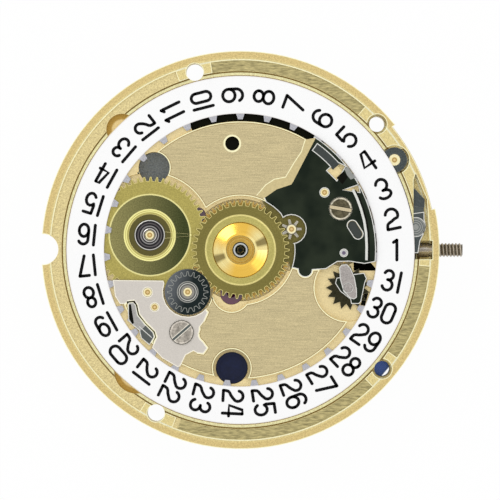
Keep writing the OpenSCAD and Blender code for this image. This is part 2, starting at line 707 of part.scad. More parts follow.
module intermediate_date_wheel() {
  color(dark_steel) at(inter_at) difference() {
    union() {
      slab(z_hour, hour_t) gear_2d(inter_teeth, hour_module, inter_phase);
      slab(z_hour + 0.08, 0.1) gear_2d(20, 0.122, inter_phase);
      slab(z_hour - hour_t + over, z_hour - hour_t - z_driver + driver_t + over)
        gear_2d(inter_leaves, driver_module, inter_pinion_phase);
      bar(1.5, z_cover, z_hour + 0.02);
      bar(0.67, z_hour + 0.14, z_hour);
    }
    bar(studs[1][1] + play, 1, -2);
  }
}

module hour_wheel() {
  color(wheel_brass) difference() {
    union() {
      slab(z_hour, hour_t) gear_2d(hour_teeth, hour_module, hour_phase, 0.12, 0.8);
      bar(2.3, z_hour + 0.05, z_hour - over);
      bar(hour_hub_r, 0, z_hour - hour_t);
      bar(hour_pipe_r, hour_pipe_h, 0);
    }
    translate([0, 0, z_hour - 0.05]) difference() {
      bar(1.85, 1, 0);
      bar(hour_hub_r, 1.1, -0.1);
    }
    bar(cannon_r + play, 2, -2);
  }
}

// The thin domed washer that presses the hour wheel down
module hour_washer() {
  color(train_brass) difference() {
    translate([0, 0, z_hour - 0.05]) cylinder(r1 = 1.8, r2 = 1.1, h = 0.28);
    translate([0, 0, z_hour - 0.11]) cylinder(r1 = 1.8, r2 = 1.1, h = 0.28);
    bar(hour_hub_r + play, 1, -1);
  }
}

module cannon_pinion() {
  color(steel) difference() {
    union() {
      bar(minute_seat_r, cannon_h, cannon_h - minute_seat_l);
      translate([0, 0, cannon_body_h])
        cylinder(r1 = cannon_r, r2 = minute_seat_r, h = cannon_h - minute_seat_l - cannon_body_h);
      bar(cannon_r, cannon_body_h, z_drive - drive_t);
      slab(z_cannon, cannon_t) gear_2d(cannon_leaves, minute_module, cannon_phase);
      bar(0.8, z_cannon - cannon_t + over, z_drive + play);
    }
    bar(cannon_bore_r, 2, -2);
  }
}

module minute_driving_wheel() {
  color(train_brass) difference() {
    slab(z_drive, drive_t) gear_2d(drive_teeth, drive_module, drive_phase);
    bar(cannon_r + play, 0, -2);
    slab(0, 2) windows_2d(1.1, 2.7, 4, 0.4);
  }
}

module minute_wheel() {
  color(wheel_brass) at(minute_at) difference() {
    union() {
      slab(z_minute, minute_t) gear_2d(minute_teeth, minute_module, minute_phase);
      slab(z_hour, z_hour - z_minute + over) gear_2d(minute_leaves, hour_module, minute_pinion_phase);
    }
    bar(studs[0][1] + play, 1, -2);
  }
}

module date_corrector() {
  color(dark_steel) at(star_at) difference() {
    slab(z_star, 0.15) polygon([for (i = [0:14], k = [[1.05, 0], [1.45, 12]]) polar(k[0], 24 * i + k[1])]);
    bar(studs[4][1] + play, 1, -2);
  }
}

module corrector_lever() {
  color(satin_steel) difference() {
    slab(z_platform, 0.12) polygon([[6.45, -1.15], [6.6, -0.97], [6.95, -0.93], [7.2, -1.2], [7.46, -1.8],
      [7.6, -2.6], [7.6, -3.1], [7.42, -3.22], [7.15, -3.15], [6.72, -2.7], [6.5, -1.9]]);
    at(star_at) bar(studs[4][1] + play, 1, -2);
  }
}

module corrector_cover() {
  color(black_steel) slab(z_cover, 0.1) difference() {
    polygon([[6.28, -1.82], [6.18, -2.17], [6.53, -2.72], [7.18, -3.22], [7.23, -3.52], [7.73, -3.52],
      [7.88, -3.37], [8.13, -2.17], [8.25, -1.87], [8.08, -1.49], [7.46, -1.57]]);
    at(star_at) circle(studs[4][1] + fit);
  }
}

module setting_wheel() {
  color(wheel_brass) at(setting_at) difference() {
    slab(z_minute + 0.02, 0.42) gear_2d(10, minute_module, setting_phase, 0.1, 0.8);
    bar(studs[3][1] + play, 1, -2);
  }
}

module setting_lever() {
  color(dark_steel) {
    slab(z_lever, lever_t) polygon([[12.02, 2.5], [12.02, 2.02], [12.13, 1.57], [11.98, 1.05], [11.75, 0.6],
      [11.62, -0.2], [11.3, -0.2], [11.2, 0.6], [10.95, 1.2], [10.95, 1.9], [11.3, 2.4]]);
    at(lever_at) bar(0.6, z_lever + 0.04, z_lever);
    at(lever_at) bar(lever_pivot_r, z_lever, z_keyless_floor - lever_root);
    at([lever_at[0], 0]) bar(0.12, z_lever - lever_t + over, z_stem + 0.3);
  }
}

module setting_lever_spring() {
  color(dark_steel) slab(z_lever, z_lever - z_keyless_floor)
    polygon([[10.3, 4.3], [11, 4.2], [11.46, 3.95], [12.05, 3.3], [12.02, 2.9], [12, 2.76], [11.2, 2.85],
      [10.6, 3.3], [10.1, 3.9]]);
}

module yoke() {
  color(dark_steel) difference() {
    union() {
      slab(z_lever, lever_t) polygon(strip([[10.07, 5.89], [9.55, 4.2], [9, 2.4], [8.62, 0.9], [8.55, -0.25]], 0.5));
      at(yoke_at) bar(0.82, z_lever + 0.03, z_lever - lever_t);
      at([groove_x, 0]) bar(0.12, z_lever - lever_t + over, z_stem + 0.6);
    }
    at(yoke_at) bar(studs[9][1] + play, 1, -3);
  }
}

// Turned parts on the stem's axis: the profile runs along X
module turned(x0, x1, r) {
  translate([x0, 0, z_stem]) rotate([0, 90, 0]) cylinder(r = r, h = x1 - x0);
}

module winding_stem() {
  color(steel) {
    difference() {
      turned(sliding_x[0] - 0.4, flange_d / 2 - stem_taper_l, stem_d / 2);
      difference() {
        turned(lever_at[0] - 0.17, lever_at[0] + 0.17, 1);
        turned(lever_at[0] - 0.2, lever_at[0] + 0.2, 0.22);
      }
      difference() {
        turned(7.5, winding_x[0] - 0.05, 1);
        translate([7.4, -square_w / 2, z_stem - square_w / 2]) cube([3, square_w, square_w]);
      }
    }
    translate([flange_d / 2 - stem_taper_l, 0, z_stem]) rotate([0, 90, 0])
      cylinder(r1 = stem_d / 2, r2 = stem_thread_d / 2, h = stem_taper_l);
    turned(flange_d / 2, flange_d / 2 + stem_reach, stem_thread_d / 2);
  }
}

module winding_pinion() {
  color(steel) difference() {
    union() {
      translate([winding_x[0], 0, z_stem]) rotate([0, 90, 0]) rotate([0, 0, 90])
        linear_extrude(0.75) gear_2d(14, winding_r / 8, 0);
      turned(winding_x[0], winding_x[1], 0.8);
    }
    turned(winding_x[0] - 1, winding_x[1] + 1, stem_d / 2 + play);
  }
}

module sliding_pinion() {
  color(steel) difference() {
    turned(sliding_x[0], sliding_x[1], sliding_r);
    difference() {
      turned(groove_x - 0.16, groove_x + 0.16, sliding_r + 1);
      turned(groove_x - 0.2, groove_x + 0.2, 0.55);
    }
    translate([sliding_x[0] - 1, -square_w / 2 - play, z_stem - square_w / 2 - play])
      cube([3, square_w + 2 * play, square_w + 2 * play]);
    for (a = [0:45:315]) translate([sliding_x[0], 0, z_stem]) rotate([a, 0, 0])
      translate([-over, -0.09, 0.42]) cube([0.16, 0.18, 0.6]);
  }
}

module crown_wheel() {
  color(steel) at(crown_at) difference() {
    slab(z_ratchet, ratchet_t) gear_2d(crown_teeth, ratchet_module, 0);
    bar(crown_core_r + play, 0, -5);
  }
}

module ratchet_wheel() {
  color(steel) at(barrel_at) difference() {
    slab(z_ratchet, ratchet_t) gear_2d(ratchet_teeth, ratchet_module, ratchet_phase);
    slab(0, 5) square(0.62 + 2 * fit, center = true);
  }
}

module barrel_arbor() {
  color(steel) at(barrel_at) {
    bar(arbor_r, z_web + 0.18, z_drum - 0.2);
    bar(core_r, z_drum - 0.15, z_drum_back + 0.18);
    bar(arbor_r, z_drum_back + 0.2, z_ratchet);
    slab(z_ratchet + over, ratchet_t + over) square(0.62, center = true);
    bar(0.5, z_ratchet - ratchet_t, z_bridge_back);
  }
}

module barrel_drum() {
  color(train_brass) at(barrel_at) difference() {
    union() {
      bar(drum_r, z_drum, z_drum_back);
      slab(z_drum_back + drum_tooth_t, drum_tooth_t) gear_2d(barrel_teeth, barrel_module, 0);
    }
    bar(drum_r - 0.2, z_drum + over, z_drum - 0.12);
    bar(drum_bore_r, z_drum, z_drum_back + 0.14);
    bar(arbor_r + play, 0, -4);
  }
}

module barrel_cover() {
  color(train_brass) at(barrel_at) difference() {
    bar(drum_r - 0.2 - fit, z_drum, z_drum - 0.1);
    bar(arbor_r + play, 0, -4);
  }
}

// A flat spiral strip from radius r0, pitch p a turn
function spiral(r0, p, turns, w, n) = concat(
  [for (i = [0:turns * n]) polar(r0 + p * i / n + w / 2, 360 * i / n)],
  [for (i = [turns * n:-1:0]) polar(r0 + p * i / n - w / 2, 360 * i / n)]);

module mainspring() {
  color(steel) at(barrel_at) slab(z_drum - 0.22, z_drum - 0.22 - z_drum_back - 0.22)
    polygon(spiral(core_r + mainspring_t, mainspring_pitch, mainspring_turns, mainspring_t, 20));
}

// A train wheel with arms, its pinion and its arbor
module train_wheel(teeth, m, z, phase, pinion, pinion_m, pinion_phase, pinion_z, pinion_l, top, bottom) {
  slab(z, wheel_t) difference() {
    gear_2d(teeth, m, phase);
    windows_2d(pitch_r(pinion, pinion_m) + 0.35, pitch_r(teeth, m) - 0.55, 4, 0.3, 20);
  }
  slab(pinion_z, pinion_l) gear_2d(pinion, pinion_m, pinion_phase);
  arbor(0.2, top, bottom);
}

module great_wheel() {
  color(train_brass) at(great_at)
    train_wheel(great_teeth, great_module, z_great, 0, great_leaves, barrel_module, great_pinion_phase,
      z_drum_back + drum_tooth_t + 0.04, drum_tooth_t + 0.1, z_web + play, z_plate_back + play);
}

module third_wheel() {
  color(train_brass) at(third_at) {
    train_wheel(third_teeth, third_module, z_third, 0, train_leaves, great_module, third_pinion_phase,
      z_great + 0.04, wheel_t + 0.1, z_driver_floor - 0.14, z_plate_back + play);
    slab(z_drive + 0.02, drive_t + 0.04) gear_2d(train_leaves, drive_module, 0);
  }
}

module seconds_wheel() {
  color(train_brass) {
    slab(z_seconds, wheel_t) difference() {
      gear_2d(seconds_teeth, seconds_module, 0);
      windows_2d(0.75, pitch_r(seconds_teeth, seconds_module) - 0.4, 4, 0.3, 20);
    }
    slab(z_third + 0.04, wheel_t + 0.1) gear_2d(train_leaves, third_module, seconds_pinion_phase);
    bar(seconds_arbor_r, cannon_h - 0.3, z_third);
    bar(0.2, z_third, z_plate_back + play);
    bar(pivot_r, z_plate_back + play, z_plate_back - 0.16);
  }
}

module escape_wheel() {
  color(train_brass) at(escape_at) {
    slab(z_escape, wheel_t) difference() {
      polygon([for (i = [0:escape_teeth - 1], k = [[1.5, 0.1], [escape_r, 0], [escape_r, 0.16], [1.5, 0.42]])
        polar(k[0], (i + k[1]) * 360 / escape_teeth)]);
      windows_2d(0.5, 1.3, 4, 0.2, 20);
    }
    slab(z_seconds + 0.04, wheel_t + 0.08) gear_2d(escape_leaves, seconds_module, escape_pinion_phase);
    bar(0.11, -0.93, z_seconds + play);
    bar(pivot_r, -0.75, -0.93);
    bar(pivot_r, z_seconds, z_plate_back - 0.16);
  }
}

module pallet_fork() {
  color(dark_steel) {
    slab(z_escape, wheel_t) difference() {
      union() {
        at(pallet_at) circle(0.24);
        for (a = [-31, 31]) polygon(strip([pallet_at, escape_at + polar(escape_r + 0.35, pallet_dir + a)], 0.26));
        polygon(strip([pallet_at, pallet_at + polar(fork_l, pallet_dir)], 0.22));
        at(pallet_at + polar(fork_l - 0.1, pallet_dir)) circle(0.24);
      }
      at(pallet_at + polar(fork_l + 0.05, pallet_dir)) circle(0.16);
      stones_2d();
    }
    at(pallet_at) arbor(0.11, -1.95, z_balance_floor - 0.02, pivot_r, 0.16);
  }
  color(ruby) slab(z_escape, wheel_t) stones_2d();
}

// The two stones that catch the escape wheel's teeth
module stones_2d() {
  for (a = [-31, 31]) at(escape_at) rotate(pallet_dir + a) translate([escape_r + play, -0.07]) square([0.32, 0.14]);
}

module balance_wheel() {
  color(train_brass) at(balance_at) {
    slab(z_balance, balance_rim_h) {
      ring_2d(balance_r, balance_r - balance_rim_w);
      for (a = [0:120:240]) rotate(a + 30) translate([0.2, -0.17]) square([balance_r - balance_rim_w, 0.34]);
      circle(0.5);
    }
    bar(0.36, z_balance - balance_rim_h, z_spring - spring_t);
    bar(0.14, -1.72, z_cock + 0.05);
    bar(pivot_r, -1.5, -1.72);
    bar(pivot_r, z_cock + 0.05, z_cock - 0.15);
    bar(0.55, z_escape - wheel_t - 0.03, z_escape - wheel_t - 0.1);
    at(polar(0.42, pallet_dir + 180)) bar(0.06, z_escape - 0.02, z_escape - wheel_t - 0.05);
  }
}

module balance_spring() {
  color(dark_steel) at(balance_at) slab(z_spring, spring_t)
    polygon(spiral(0.4, spring_pitch, spring_turns, 0.05, 20));
}

module bridge_2d(edge) {
  difference() {
    intersection() {
      polygon(edge);
      circle(12.3);
    }
    at(balance_at) circle(balance_pocket_r);
  }
}

train_bridge_edge = [[0.7, 12.3], [0.7, 8.2], [1.3, 7], [1.3, -1.75], [3.3, -1.85], [3.3, -3.7], [1.5, -4.2],
  [-3.2, -4.6], [-6.4, -3.2], [-6.9, 1.5], [-7, 5.5], [-6.4, 8.2], [-3, 11]];
barrel_bridge_edge = [[0.85, 12.3], [0.85, 8.25], [1.45, 7.05], [1.45, -1.65], [4.6, -1.65], [6.2, -3.8],
  [8.6, -3.8], [12.3, -1.2], [12.3, 5.2], [9.6, 6.2], [8, 8.2], [6.6, 9.4], [5.2, 12.3]];
ratchet_wall = 0.5;

module train_bridge() {
  color(satin_steel) difference() {
    slab(z_plate_back, bridge_t) difference() {
      bridge_2d(train_bridge_edge);
      at(barrel_at) circle(ratchet_r + ratchet_wall + 0.15);
    }
    reduction_recess();
    for (p = [great_at, third_at, centre, escape_at]) at(p) bar(bridge_jewel_r, 0, z_bridge_back - over);
    for (i = [0:3]) at(frame_screws[i]) screw_seat();
    for (i = [0, 2]) at(auto_screws[i]) bar(0.25 + fit, 0, -5);
  }
}

// Room for the pinion that turns the ratchet wheel
module reduction_recess() {
  at(reduction_at) bar(0.9, z_ratchet + play, z_bridge_back - over);
}

module screw_seat() {
  bar(0.3 + 0.03, 0, -5);
  bar(0.6, z_bridge_back + 0.2, z_bridge_back - over);
}

module barrel_bridge() {
  color(satin_steel) difference() {
    union() {
      slab(z_plate_back, bridge_t) bridge_2d(barrel_bridge_edge);
      at(barrel_at) bar(ratchet_r + ratchet_wall, z_drum_back - gap, z_bridge_back);
    }
    bar(seconds_pocket_r, z_plate_back + 1, z_plate_back + over);
    at(barrel_at) bar(ratchet_r + 0.25, z_ratchet + play, z_bridge_back - over);
    at(crown_at) difference() {
      bar(crown_r + 0.25, z_ratchet + play, z_bridge_back - over);
      bar(crown_core_r, 0, -5);
    }
    at(crown_at) bar(0.3 + play, 0, -5);
    at(click_at + polar(click_l, click_dir)) bar(click_r + 0.26, z_ratchet + play, z_bridge_back - over);
    reduction_recess();
    translate([winding_x[0] - 0.1, -0.6, z_bridge_back - over]) cube([winding_x[1] - winding_x[0] + 0.2, 1.2, 1]);
    at(barrel_at) bar(arbor_r + play, 0, -4);
    at(click_at) bar(0.2, 0, -4);
    for (i = [4:6]) at(frame_screws[i]) screw_seat();
    at(auto_screws[1]) bar(0.25 + fit, 0, -5);
  }
}

module click() {
  tip = click_at + polar(click_l, click_dir);
  color(steel) {
    slab(z_bridge_back - fit, 0.16) difference() {
      union() {
        polygon(strip([click_at, tip], 0.36));
        at(click_at) circle(0.42);
        at(tip) circle(0.17);
      }
      at(click_at) circle(0.17);
      at(tip) circle(click_r);
    }
    at(click_at) bar(0.17, z_plate_back - 0.05, z_bridge_back - fit - 0.16);
    at(tip) bar(click_r, z_ratchet - 0.04, z_bridge_back - fit - 0.16);
  }
}

module click_spring() {
  foot = click_at + [1.3, -1.1];
  bend = click_at + [0.3, -0.58];
  color(steel) slab(z_bridge_back, 0.14) union() {
    at(foot) circle(0.32);
    polygon(strip([foot, bend], 0.14));
    polygon(strip([bend + [0.05, -0.02], click_at + [-0.35, -0.54]], 0.14));
  }
}

module pallet_bridge() {
  color(satin_steel) difference() {
    slab(z_balance_floor, pallet_bridge_t) union() {
      for (p = pallet_screws) {
        polygon(strip([pallet_at, p], 0.76));
        at(p) circle(0.5);
      }
      at(pallet_at) circle(0.45);
    }
    at(pallet_at) bar(0.3, 0, -5);
    for (p = pallet_screws) at(p) bar(0.2 + fit, 0, -5);
  }
}

module balance_bridge() {
  color(satin_steel) difference() {
    union() {
      slab(z_cock, cock_t) union() {
        polygon(strip([balance_at, cock_screw], 1.9));
        at(balance_at) circle(1.35);
        at(cock_screw) circle(1.1);
      }
      at(cock_screw) bar(1.05, z_plate_back, z_cock - 0.1);
      // Stud that holds the outer end of the balance spring
      at(balance_at + polar(spring_outer, -8)) bar(0.2, z_spring - spring_t - 0.01, z_cock - 0.1);
    }
    at(balance_at) bar(0.8, 0, -5);
    at(cock_screw) bar(0.4 + 0.03, 0, -5);
    at(cock_screw) bar(0.75, z_cock - cock_t + 0.2, -5);
  }
}

module regulator() {
  color(steel) at(balance_at) slab(z_cock - cock_t - 0.01, 0.1) difference() {
    union() {
      circle(1.15);
      polygon([[0, -0.3], [0, 0.3], [-2.2, 0.12], [-2.2, -0.12]]);
    }
    circle(0.85);
  }
}

module stop_lever() {
  color(steel) {
    slab(z_plate_back + 0.12, 0.1) polygon(strip(stop_line(), 0.4));
    at(stop_at) bar(0.4, z_plate_back + 0.39, z_plate_back + 0.12);
    at(stop_at) bar(stop_pivot_r, z_plate_back + 0.75, z_plate_back + 0.39);
  }
}

module bridge_jewels() {
  color(ruby) {
    for (p = [great_at, third_at, centre, escape_at]) at(p)
      jewel(z_plate_back - 0.02, 0.26, bridge_jewel_r - fit);
    at(pallet_at) jewel(z_balance_floor, pallet_bridge_t, 0.3 - fit);
  }
}

module bridge_screws() {
  color(steel) {
    for (p = frame_screws) at(p) back_screw(0.55, z_bridge_back, 0.2 - fit, 0.3, 1, 30);
    at(cock_screw) back_screw(0.7, z_cock - cock_t, 0.2 - fit, 0.4, 1.3, 70);
    for (p = pallet_screws) at(p) back_screw(0.34, z_balance_floor - pallet_bridge_t - 0.03, 0.03, 0.2, 0.6, 0);
    at(crown_at) back_screw(0.95, z_bridge_back - 0.16, 0.16, 0.3, 0.7, 55);
  }
}

module automatic_bridge() {
  color(satin_steel) difference() {
    union() {
      slab(z_auto, auto_t) union() {
        circle(bearing_r + 0.8);
        for (p = [reverse_a_at, reverse_b_at, reduction_at]) at(p) circle(0.95);
        polygon(strip([centre, reverse_a_at], 1.7));
        polygon(strip([reverse_a_at, reverse_b_at], 1.7));
        polygon(strip([reverse_b_at, reduction_at], 1.7));
        polygon(strip([reverse_b_at, auto_screws[0]], 1.4));
        polygon(strip([reduction_at, auto_screws[2]], 1.4));
        polygon(strip([centre, auto_screws[1]], 1.6));
        for (p = auto_screws) at(p) circle(0.75);
      }
      for (p = auto_screws) at(p) bar(0.62, z_bridge_back, z_auto);
      for (p = [reverse_a_at, reverse_b_at]) at(p) bar(0.25, z_bridge_back - 0.03, z_auto);
    }
    bar(bearing_r, 0, -5);
    at(reduction_at) bar(0.2 + play, 0, -5);
    for (p = auto_screws) at(p) {
      bar(0.25 + 0.03, 0, -5);
      bar(0.5, z_auto - auto_t + 0.16, -5);
    }
  }
}

module automatic_bridge_screws() {
  color(steel) for (p = auto_screws) at(p) back_screw(0.46, z_auto - auto_t, 0.15, 0.25, 0.8, 15);
}

module reversing_wheel(phase) {
  difference() {
    slab(z_reverse, reverse_t) gear_2d(reverse_teeth, auto_module, phase);
    bar(0.25 + play, 0, -5);
  }
}

module reversing_wheel_a() {
  color(train_brass) at(reverse_a_at) reversing_wheel(reverse_a_phase);
}

module reversing_wheel_b() {
  color(train_brass) at(reverse_b_at) reversing_wheel(reverse_b_phase);
}

module reduction_wheel() {
  color(train_brass) at(reduction_at) {
    slab(z_reverse, reverse_t) gear_2d(reduction_teeth, auto_module, reduction_phase);
    slab(z_ratchet - 0.02, z_ratchet - 0.02 - z_reverse + over)
      gear_2d(reduction_leaves, ratchet_module, reduction_pinion_phase);
    bar(0.2, z_reverse, z_auto - auto_t + 0.03);
  }
}

module rotor_bearing() {
  color(steel) difference() {
    bar(bearing_r - fit, z_auto, z_auto - auto_t);
    bar(hub_r + play, 0, -5);
  }
}

module rotor_gear() {
  color(train_brass) difference() {
    slab(z_reverse, reverse_t) gear_2d(rotor_gear_teeth, auto_module, 0);
    bar(0.8 + fit, 0, -5);
  }
}

module rotor_plate() {
  color(satin_steel) difference() {
    union() {
      slab(z_rotor, rotor_t) difference() {
        union() {
          circle(2.6);
          sector_2d(2, weight_inner_r - fit, rotor_angle - rotor_span / 2, rotor_angle + rotor_span / 2);
        }
        for (a = [-50, 0, 50]) sector_2d(4.2, 9.2, rotor_angle + a - 17, rotor_angle + a + 17, 10);
      }
      bar(hub_r, z_auto, z_rotor - over);
      bar(0.8, z_reverse, z_auto);
    }
    bar(0.4 + fit, 0, -5);
  }
}

module rotor_weight() {
  color(steel) slab(z_weight, z_weight - z_back)
    sector_2d(weight_inner_r, rotor_r, rotor_angle - rotor_span / 2, rotor_angle + rotor_span / 2, 40);
}

module rotor_screw() {
  color(steel) back_screw(1.1, z_back, weight_h, 0.4, 0.7, 20);
}

main_plate();
plate_jewels();
shock_settings();
wheel_studs();
date_ring();
date_plate();
date_plate_screw();
date_bridge();
date_bridge_screw();
date_jumper();
date_driving_wheel();
intermediate_date_wheel();
hour_wheel();
hour_washer();
cannon_pinion();
minute_wheel();
minute_driving_wheel();
date_corrector();
corrector_lever();
corrector_cover();
setting_wheel();
setting_lever();
setting_lever_spring();
yoke();
winding_stem();
winding_pinion();
sliding_pinion();
crown_wheel();
ratchet_wheel();
click();
click_spring();
barrel_drum();
barrel_cover();
barrel_arbor();
mainspring();
great_wheel();
third_wheel();
seconds_wheel();
escape_wheel();
pallet_fork();
balance_wheel();
balance_spring();
train_bridge();
barrel_bridge();
pallet_bridge();
balance_bridge();
regulator();
stop_lever();
bridge_jewels();
bridge_screws();
automatic_bridge();
automatic_bridge_screws();
reversing_wheel_a();
reversing_wheel_b();
reduction_wheel();
rotor_bearing();
rotor_gear();
rotor_plate();
rotor_weight();
rotor_screw();
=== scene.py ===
import math

import bmesh
import bpy
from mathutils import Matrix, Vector

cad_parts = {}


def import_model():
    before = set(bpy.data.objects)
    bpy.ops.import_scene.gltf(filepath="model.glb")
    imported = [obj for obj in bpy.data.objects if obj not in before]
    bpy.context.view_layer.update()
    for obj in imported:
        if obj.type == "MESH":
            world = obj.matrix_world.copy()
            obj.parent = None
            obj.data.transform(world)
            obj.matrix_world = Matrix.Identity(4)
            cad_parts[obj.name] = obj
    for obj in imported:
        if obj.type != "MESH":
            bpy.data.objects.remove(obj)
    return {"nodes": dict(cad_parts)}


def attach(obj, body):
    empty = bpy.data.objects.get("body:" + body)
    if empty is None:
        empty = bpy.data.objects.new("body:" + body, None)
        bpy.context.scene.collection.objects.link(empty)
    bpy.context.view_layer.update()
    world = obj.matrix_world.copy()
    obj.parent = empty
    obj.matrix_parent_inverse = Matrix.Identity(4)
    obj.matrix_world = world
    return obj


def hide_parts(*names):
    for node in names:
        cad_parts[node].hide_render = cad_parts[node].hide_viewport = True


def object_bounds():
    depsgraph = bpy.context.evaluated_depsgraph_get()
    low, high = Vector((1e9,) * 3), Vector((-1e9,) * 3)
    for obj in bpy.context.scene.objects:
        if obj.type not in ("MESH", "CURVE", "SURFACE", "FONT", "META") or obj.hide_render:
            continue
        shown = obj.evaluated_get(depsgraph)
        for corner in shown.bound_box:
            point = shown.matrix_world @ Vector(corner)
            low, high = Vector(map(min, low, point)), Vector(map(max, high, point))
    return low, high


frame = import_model()
cad_low, cad_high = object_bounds()

MM = 0.001

# The part of a noise's range that a grain uses
GRAIN_RANGE = (0.3, 0.7)

# Places of the movement, in millimetres as in the part's source
CENTRE = (0.0, 0.0)
DRIVER = (-5.932, 0.974)
INTER = (-3.451, -2.745)
MINUTE = (3.335, 1.361)
STAR = (7.03, -2.47)
SETTING = (6.587, 0.304)
RIM_WINDOW = (9.24, -7.77)
DATE_SCREW = (6.54, 2.70)
BRIDGE_SCREW = (-3.85, -5.38)

# Heights of the dial side and of the weight's upper face, and depth of the stem's axis
WEIGHT_TOP = -3.5
STEM_DEPTH = 1.8
Z_PLATFORM = -0.04
Z_JUMPER = -0.05
Z_INTER = -0.16
Z_COVER = -0.19
Z_RING = -0.22
Z_HOUR = -0.24
Z_LEVER = -0.50
Z_DRIVER = -0.54


def linear(rgb):
    """An sRGB colour of 0 to 255 as linear RGBA."""
    out = []
    for c in rgb:
        c = c / 255
        out.append(c / 12.92 if c <= 0.04045 else ((c + 0.055) / 1.055) ** 2.4)
    return (*out, 1.0)


class Nodes:
    """A material's node tree with short calls for the nodes that the finishes share."""

    def __init__(self, name):
        self.mat = bpy.data.materials.new(name)
        self.mat.use_nodes = True
        self.tree = self.mat.node_tree
        self.bsdf = self.tree.nodes["Principled BSDF"]
        self.coord = self.new("ShaderNodeTexCoord").outputs["Object"]
        self.xyz = None

    def new(self, kind, **props):
        node = self.tree.nodes.new(kind)
        for key, value in props.items():
            setattr(node, key, value)
        return node

    def link(self, a, b):
        self.tree.links.new(a, b)

    def put(self, value, socket):
        if isinstance(value, bpy.types.NodeSocket):
            self.link(value, socket)
        else:
            socket.default_value = value

    def math(self, op, a, b=0.0):
        node = self.new("ShaderNodeMath", operation=op)
        for value, socket in zip((a, b), node.inputs):
            self.put(value, socket)
        return node.outputs[0]

    def times(self, *factors):
        """The product of two or more values."""
        out = factors[0]
        for factor in factors[1:]:
            out = self.math("MULTIPLY", out, factor)
        return out

    def mix(self, factor, a, b):
        node = self.new("ShaderNodeMix", data_type="RGBA")
        self.put(factor, node.inputs["Factor"])
        self.put(a, node.inputs["A"])
        self.put(b, node.inputs["B"])
        return node.outputs["Result"]

    def axes(self):
        """The x, y and z of the object's own frame, in millimetres."""
        if self.xyz is None:
            scale = self.new("ShaderNodeVectorMath", operation="SCALE")
            scale.inputs["Scale"].default_value = 1 / MM
            self.link(self.coord, scale.inputs[0])
            split = self.new("ShaderNodeSeparateXYZ")
            self.link(scale.outputs[0], split.inputs[0])
            self.xyz = split.outputs
        return self.xyz

    def vector(self, x, y, z=0.0):
        node = self.new("ShaderNodeCombineXYZ")
        for value, socket in zip((x, y, z), node.inputs):
            self.put(value, socket)
        return node.outputs[0]

    def polar(self, centre=CENTRE):
        """Distance and direction from a point, in millimetres and turns."""
        x, y, _ = self.axes()
        dx = self.math("SUBTRACT", x, centre[0])
        dy = self.math("SUBTRACT", y, centre[1])
        radius = self.math("SQRT", self.math("ADD", self.times(dx, dx), self.times(dy, dy)))
        turn = self.math("DIVIDE", self.math("ARCTAN2", dy, dx), 2 * math.pi)
        return radius, turn

    def noise(self, vector, scale, detail=2.0, roughness=0.5):
        node = self.new("ShaderNodeTexNoise")
        self.link(vector, node.inputs["Vector"])
        node.inputs["Scale"].default_value = scale
        node.inputs["Detail"].default_value = detail
        node.inputs["Roughness"].default_value = roughness
        return node.outputs["Fac"]

    def ramp(self, value, low, high, out_low=0.0, out_high=1.0):
        node = self.new("ShaderNodeMapRange", clamp=True)
        for v, socket in zip((value, low, high, out_low, out_high), node.inputs):
            self.put(v, socket)
        return node.outputs[0]

    def spread(self, grain, low, high):
        """A value that follows the grain from low to high."""
        return self.ramp(grain, *GRAIN_RANGE, low, high)

    def edge(self, radius=0.03):
        """1 on the flats, lower within radius (mm) of a sharp edge."""
        bevel = self.new("ShaderNodeBevel", samples=6)
        bevel.inputs["Radius"].default_value = radius * MM
        dot = self.new("ShaderNodeVectorMath", operation="DOT_PRODUCT")
        self.link(bevel.outputs[0], dot.inputs[0])
        self.link(self.new("ShaderNodeNewGeometry").outputs["Normal"], dot.inputs[1])
        return self.ramp(dot.outputs["Value"], 0.86, 0.985)

    def bump(self, height, depth):
        """A bump of depth millimetres."""
        node = self.new("ShaderNodeBump")
        node.inputs["Strength"].default_value = 1.0
        node.inputs["Distance"].default_value = depth * MM
        self.link(height, node.inputs["Height"])
        self.link(node.outputs[0], self.bsdf.inputs["Normal"])

    def radial_tangent(self):
        node = self.new("ShaderNodeTangent", direction_type="RADIAL", axis="Z")
        self.link(node.outputs[0], self.bsdf.inputs["Tangent"])

    def finish(self, color, roughness, metallic=1.0, anisotropic=0.0):
        self.put(color, self.bsdf.inputs["Base Color"])
        self.put(roughness, self.bsdf.inputs["Roughness"])
        self.bsdf.inputs["Metallic"].default_value = metallic
        self.bsdf.inputs["Anisotropic"].default_value = anisotropic
        return self.mat


# Grain of the finishes


def straight_grain(n, length, width):
    """Fine lines along x, as a straight brushing leaves them."""
    x, y, z = n.axes()
    lines = n.vector(n.math("DIVIDE", x, length), n.math("DIVIDE", y, width), n.math("DIVIDE", z, width))
    return n.noise(lines, 1.0, 3.0, 0.65)


def round_grain(n, centre, width=0.045, sweep=14.0):
    """Fine rings about a centre, as turning leaves them."""
    radius, turn = n.polar(centre)
    return n.noise(n.vector(n.math("DIVIDE", radius, width), n.times(turn, sweep)), 1.0, 3.0, 0.6)


def speckle(n, size=0.06):
    """A frosted, sand-blasted grain."""
    x, y, z = n.axes()
    return n.noise(n.vector(x, y, z), 1 / size, 2.0, 0.6)


def shade(n, color, grain, depth):
    """The colour made darker and lighter by the grain."""
    dark = tuple(c * (1 - depth) for c in color[:3]) + (1.0,)
    light = tuple(min(1.0, c * (1 + depth)) for c in color[:3]) + (1.0,)
    return n.mix(n.spread(grain, 0.0, 1.0), dark, light)


def bands(n, radius, grain, inner, stops, depth=0.2):
    """Concentric bands: the innermost colour, then each (radius, colour) further out."""
    color = shade(n, linear(inner), grain, depth)
    for r, rgb in stops:
        color = n.mix(n.ramp(radius, r - 0.012, r + 0.012), color, shade(n, linear(rgb), grain, depth))
    return color


